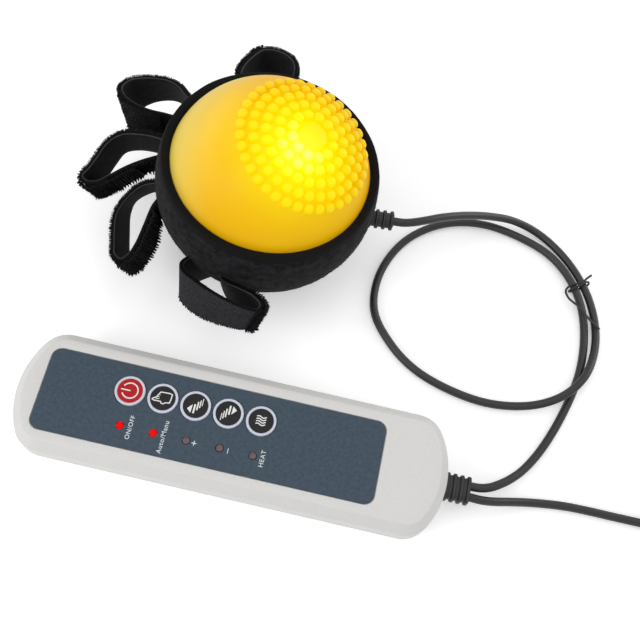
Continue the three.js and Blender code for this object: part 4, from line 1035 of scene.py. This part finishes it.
# Printed words
# Small words in white ink beside the lamps, printed on the membrane. They read from the handset's front edge
# towards its back.
ink = surface("white_ink", (205, 210, 214), (232, 235, 238), 0.0005, 0.6, 0.000005)
words = [
    ("ON/OFF", "on_off", -0.0403, -0.0139, 0.0026), ("Auto/Manu", "auto_manu", -0.0262, -0.0166, 0.0028),
    ("+", "plus", -0.0126, -0.0104, 0.0042), ("\u2013", "minus", 0.0012, -0.0102, 0.0042),
    ("HEAT", "heat", 0.0155, -0.0127, 0.0027),
]
for text, name, x, y, size in words:
    letters = bpy.data.curves.new("letters_" + name, "FONT")
    letters.body = text
    letters.size = size
    letters.extrude = 0.00003
    letters.offset = 0.00002
    letters.resolution_u = 4
    letters.space_character = 1.12
    outline = bpy.data.objects.new("letters_" + name, letters)
    mesh = bpy.data.meshes.new_from_object(outline)
    bpy.data.objects.remove(outline)
    bm = bmesh.new()
    bm.from_mesh(mesh)
    lie = Matrix.Translation((x, y, membrane_top + 0.00003)) @ Matrix.Rotation(math.pi / 2, 4, "Z")
    bmesh.ops.transform(bm, matrix=handset_place @ lie, verts=bm.verts)
    word = piece("word_" + name, bm, [ink])
    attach(word, "root")

# Keys
# Round keys of hard plastic, each a pale ring about a coloured disc with a printed white sign. They stand on
# the tact switches and move down when pressed.
ring_plastic = surface("key_ring", (198, 203, 220), (214, 218, 232), 0.0008, 0.4, 0.00001)
red_disc = surface("key_red", (168, 8, 14), (192, 18, 22), 0.0012, 0.5, 0.00002, specular=0.25)
black_disc = surface("key_black", (14, 14, 16), (28, 28, 30), 0.0012, 0.5, 0.00002, specular=0.25)
sign_ink = surface("sign_ink", (226, 226, 226), (245, 245, 245), 0.0006, 0.5, 0.000005)
key_names = ["power_key", "mode_key", "plus_key", "minus_key", "heat_key"]
disc_radius = 0.0053
sign_top = 0.02159
sign_under = 0.02146
key_profile = [
    (0, 0.0186), (0.0016, 0.0186), (0.0016, 0.0188), (key_radius, 0.0188), (key_radius, 0.02138),
    (key_radius - 0.0001, 0.02158), (key_radius - 0.0003, 0.02168), (0.0058, 0.0217), (0.00555, 0.02166),
    (0.00538, 0.02154), (disc_radius, 0.02144), (0.0051, 0.02144), (0.0038, 0.0215), (0.002, 0.02154),
    (0, 0.02155),
]


def stroke(bm, points, width, closed=False):
    """A flat printed line of even width through the points, raised a little off the key's disc."""
    line = [Vector((x, y)) for x, y in points]
    count = len(line)
    low, high = [], []
    for i, point in enumerate(line):
        before = line[(i - 1) % count] if closed or i > 0 else point
        after = line[(i + 1) % count] if closed or i < count - 1 else point
        into = (point - before).normalized() if before != point else (after - point).normalized()
        out_of = (after - point).normalized() if after != point else into
        middle = (into + out_of).normalized()
        normal = Vector((-middle.y, middle.x))
        stretch = 1 / max(normal.dot(Vector((-into.y, into.x))), 0.5)
        low.append(point - normal * width / 2 * stretch)
        high.append(point + normal * width / 2 * stretch)
    for i in range(count if closed else count - 1):
        n = (i + 1) % count
        flat_patch(bm, [low[i], low[n], high[n], high[i]])


def flat_patch(bm, corners):
    """A thin printed patch with its own edge."""
    top = [bm.verts.new((p.x, p.y, sign_top)) for p in corners]
    under = [bm.verts.new((p.x, p.y, sign_under)) for p in corners]
    bm.faces.new(top).material_index = 2
    for i in range(len(corners)):
        n = (i + 1) % len(corners)
        bm.faces.new((top[i], top[n], under[n], under[i])).material_index = 2


def power_sign(bm):
    """An open circle with a bar in its gap."""
    gap = math.radians(28)
    radius = 0.0033
    angles = [-math.pi + gap + (2 * math.pi - 2 * gap) * i / 40 for i in range(41)]
    stroke(bm, [(radius * math.cos(a), radius * math.sin(a)) for a in angles], 0.00055)
    stroke(bm, [(-0.0038, 0), (0.0002, 0)], 0.0005)


def hand_sign(bm):
    """The outline of a pointing hand with three finger lines."""
    sheet = [
        (-0.00144, 0.0024), (0.0023, 0.00263), (0.0035, 0.00226), (0.00338, -0.0003), (0.0032, -0.00148),
        (0.0016, -0.0017), (0.00064, -0.0024), (-0.0001, -0.0023), (-0.00053, -0.0016), (-0.0018, -0.00157),
        (-0.00346, -0.00164), (-0.0042, -0.0013), (-0.0039, -0.0008), (-0.0027, -0.0001), (-0.0023, 0.0008),
        (-0.002, 0.00145),
    ]
    stroke(bm, sheet, 0.00045, closed=True)
    for start, end in (
        ((-0.0021, 0.0013), (-0.0014, 0.001)), ((-0.0023, 0.0003), (-0.0015, 0.0002)),
        ((-0.0029, -0.0007), (-0.0013, -0.0005)),
    ):
        stroke(bm, [start, end], 0.0003)


def wedge_sign(bm, side):
    """A striped arrow that narrows away from its head. Side -1 points left, side 1 is its half turn."""
    head = [(-0.0032, -0.00187), (-0.00136, -0.00343), (-0.00124, 0.00033)]
    flat_patch(bm, [Vector((-side * x, -side * y)) for x, y in head])
    for x, low, high, width in (
        (-0.00025, -0.0034, 0.0006, 0.00075), (0.00088, -0.0018, 0.0019, 0.0006),
        (0.00178, -0.0006, 0.0027, 0.00048), (0.0026, 0.0005, 0.0036, 0.00034),
    ):
        stroke(bm, [(-side * x, -side * low), (-side * x, -side * high)], width)


def heat_sign(bm):
    """Four wavy lines side by side."""
    wave_length = 0.0036
    wave_height = 0.00034
    for middle in (0.00165, 0.00058, -0.0005, -0.0016):
        xs = [-0.0021 + 0.0041 * k / 16 for k in range(17)]
        wave = [(x, middle + wave_height * math.cos((x + 0.0012) / wave_length * 2 * math.pi)) for x in xs]
        stroke(bm, wave, 0.00046)


signs = [power_sign, hand_sign, lambda bm: wedge_sign(bm, -1), lambda bm: wedge_sign(bm, 1), heat_sign]
for name, x, draw in zip(key_names, key_xs, signs):
    bm = bmesh.new()
    turned(bm, key_profile, 64)
    for face in bm.faces:
        middle = face.calc_center_median()
        on_disc = middle.xy.length < disc_radius and middle.z > 0.0214
        face.material_index = 0 if on_disc else 1
    draw(bm)
    bmesh.ops.transform(bm, matrix=handset_place @ Matrix.Translation((x, key_row_y, 0)), verts=bm.verts)
    disc = red_disc if name == "power_key" else black_disc
    key = piece(name + "_cap", bm, [disc, ring_plastic, sign_ink], sharp=50)
    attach(key, name + "_body")
    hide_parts(name)

# Status lamps
# Five small round-topped lamps of clear resin, soldered to the board with their tops in the membrane's holes.
# The first two are lit red.
lamp_lit = surface(
    "lamp_lit", (150, 2, 2), (176, 6, 6), 0.001, 0.5, 0.00001, specular=0.1,
    sockets={"Emission Color": (1, 0, 0, 1), "Emission Strength": 0.5},
)
lamp_dark = surface("lamp_dark", (88, 74, 77), (116, 96, 97), 0.0012, 0.4, 0.00002, specular=0.3)
lamp_base = 0.0139
lens_foot = 0.0207
lens_rise = 0.0004
for index, x in enumerate(key_xs):
    bm = bmesh.new()
    quarter = [math.pi / 2 * i / 6 for i in range(6)]
    flange_top = lamp_base + 0.0009
    profile = [
        (0, lamp_base), (0.0019, lamp_base), (0.0019, flange_top), (led_radius, flange_top),
        *((led_radius * math.cos(a), lens_foot + lens_rise * math.sin(a)) for a in quarter),
        (0, lens_foot + lens_rise),
    ]
    turned(bm, profile, 32)
    bmesh.ops.transform(bm, matrix=handset_place @ Matrix.Translation((x, led_y, 0)), verts=bm.verts)
    lamp = piece(f"status_lens_{index + 1}", bm, [lamp_lit if index < 2 else lamp_dark], sharp=40)
    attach(lamp, "root")
    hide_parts(f"status_led_{index + 1}")

# Handset strain relief
# A ribbed block of black rubber, moulded on both cords and clamped between the two halves of the case. Its
# ribs let the cords bend where they leave, without a kink.
block_width = 0.012
block_height = 0.008
block_squareness = 0.55
rib_depth = 0.0006
block_start = half_length + 0.0003
block_end = half_length + 0.011
block_pitch = (block_end - block_start) / 7


def block_ring(shrink, x):
    """The block's rounded outline at that place along the handset, drawn in by the shrink."""
    half_y = block_width / 2 - shrink
    half_z = block_height / 2 - shrink
    places = [(math.cos(2 * math.pi * i / 48), math.sin(2 * math.pi * i / 48)) for i in range(48)]
    return [
        Vector((
            x,
            math.copysign(abs(c) ** block_squareness, c) * half_y,
            parting_z + math.copysign(abs(s) ** block_squareness, s) * half_z,
        ))
        for c, s in places
    ]


bm = bmesh.new()
flange_start = half_length - 0.0084
flange_end = half_length - 0.0062
rings = [block_ring(0, flange_start), block_ring(0, flange_end), block_ring(rib_depth, flange_end)]
for rib in range(4):
    start = block_start + 2 * rib * block_pitch
    end = start + block_pitch
    groove = [(rib_depth * 1.5, 0), (0.00025, 0.00005), (0, 0.0003)]
    rings += [block_ring(shrink, start + inwards) for shrink, inwards in groove]
    rings += [block_ring(shrink, end - inwards) for shrink, inwards in reversed(groove)]
rings += [block_ring(rib_depth * 2.4, block_end + 0.0001)]
made = drawn_out(bm, rings)
for ring in (made[0], made[-1]):
    bmesh.ops.edgeloop_fill(bm, edges=edges_of(bm, ring))
bmesh.ops.transform(bm, matrix=handset_place, verts=bm.verts)
hand_relief = piece("handset_strain_relief_block", bm, [relief_rubber], sharp=40)
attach(hand_relief, "root")
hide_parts("handset_strain_relief")

# Inner pieces
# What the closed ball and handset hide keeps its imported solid, each with the finish of its own material:
# moulded plastic, coated circuit board, steel and brass, clear resin and a copper-coloured heating film.
inner_finishes = {
    "lower_shell": ((222, 186, 70), (236, 203, 92), 0.002, 0.5, 0),
    "mounting_plate": ((222, 220, 214), (236, 234, 228), 0.001, 0.55, 0),
    "motor_end_cap": ((214, 212, 206), (232, 230, 224), 0.001, 0.55, 0),
    "lamp_board": ((22, 84, 48), (34, 112, 64), 0.0015, 0.45, 0),
    "handset_circuit_board": ((22, 84, 48), (34, 112, 64), 0.0015, 0.45, 0),
    "thermal_cutout": ((20, 20, 22), (40, 40, 42), 0.0006, 0.5, 0),
    "heating_film": ((150, 82, 44), (196, 118, 68), 0.0012, 0.45, 0.6),
    "motor_can": ((170, 172, 175), (200, 202, 205), 0.0008, 0.3, 1),
    "motor_shaft": ((180, 182, 185), (208, 210, 212), 0.0006, 0.25, 1),
    "eccentric_weight": ((176, 138, 74), (206, 168, 98), 0.001, 0.35, 1),
}
for prefix, count, look in (
    ("glow_lamp_", 3, ((255, 240, 176), (255, 250, 214), 0.002, 0.2, 0)),
    ("ball_screw_", 3, ((168, 170, 172), (204, 206, 208), 0.0006, 0.32, 1)),
    ("tact_switch_", 5, ((24, 24, 26), (46, 46, 50), 0.0008, 0.45, 0)),
    ("case_screw_", 4, ((168, 170, 172), (204, 206, 208), 0.0006, 0.32, 1)),
):
    for index in range(count):
        inner_finishes[prefix + str(index + 1)] = look
for node_name, (dark, light, grain, roughness, metallic) in inner_finishes.items():
    material = surface(node_name + "_finish", dark, light, grain, roughness, 0.00001, metallic=metallic)
    finish(node_name, material)

# Floor and light
# A plain white floor, three wide soft lights and an even white sky, as in a product picture. Floor and sky
# are brighter where the camera or a mirror image sees them than where they light the object.
floor_half_size = 3
floor_drop = 0.0001
bm = bmesh.new()
bmesh.ops.create_grid(bm, x_segments=2, y_segments=2, size=floor_half_size)


def white_where_seen(tree, lit, seen):
    """A strength of one value for light, and of another where the surface is seen or mirrored."""
    light_path = tree.nodes.new("ShaderNodeLightPath")
    share = light_path.outputs["Is Camera Ray"]
    for kind in ("Is Glossy Ray", "Is Transmission Ray"):
        share = output_of(tree, "Math", "Value", {0: share, 1: light_path.outputs[kind]}, operation="MAXIMUM")
    return output_of(tree, "MapRange", "Result", {"Value": share, "To Min": lit, "To Max": seen})


floor_paint = surface(
    "floor_paint", (250, 250, 250), (255, 255, 255), 0.2, 0.9, 0.00001, specular=0.1,
    sockets={"Emission Color": (1, 1, 1, 1)},
)
tree = floor_paint.node_tree
wire(tree, tree.nodes["Principled BSDF"], {"Emission Strength": white_where_seen(tree, 0, 0.3)})
bmesh.ops.translate(bm, vec=(0, 0, -floor_drop), verts=bm.verts)
floor = piece("floor", bm, [floor_paint])

world = bpy.data.worlds.new("sky")
world.use_nodes = True
tree = world.node_tree
sky_light = {"Color": (1, 1, 1, 1), "Strength": white_where_seen(tree, 0.6, 1)}
wire(tree, tree.nodes["Background"], sky_light)
bpy.context.scene.world = world
lights = [
    ("overhead", (0.0, 0.05, 0.9), 0.9, 1.4),
    ("front_left", (-0.6, -0.55, 0.6), 0.5, 2.6),
    ("back_right", (0.75, 0.55, 0.35), 0.5, 1.8),
]
for name, location, size, power in lights:
    lamp_data = bpy.data.lights.new(name, "AREA")
    lamp_data.shape = "DISK"
    lamp_data.size = size
    lamp_data.energy = power
    light = bpy.data.objects.new(name, lamp_data)
    light.location = location
    aim = Vector((0, -0.03, 0)) - Vector(location)
    light.rotation_mode = "QUATERNION"
    light.rotation_quaternion = aim.to_track_quat("-Z", "Y")
    bpy.context.scene.collection.objects.link(light)
bpy.context.scene.view_settings.view_transform = "Standard"
bpy.context.scene.view_settings.look = "None"
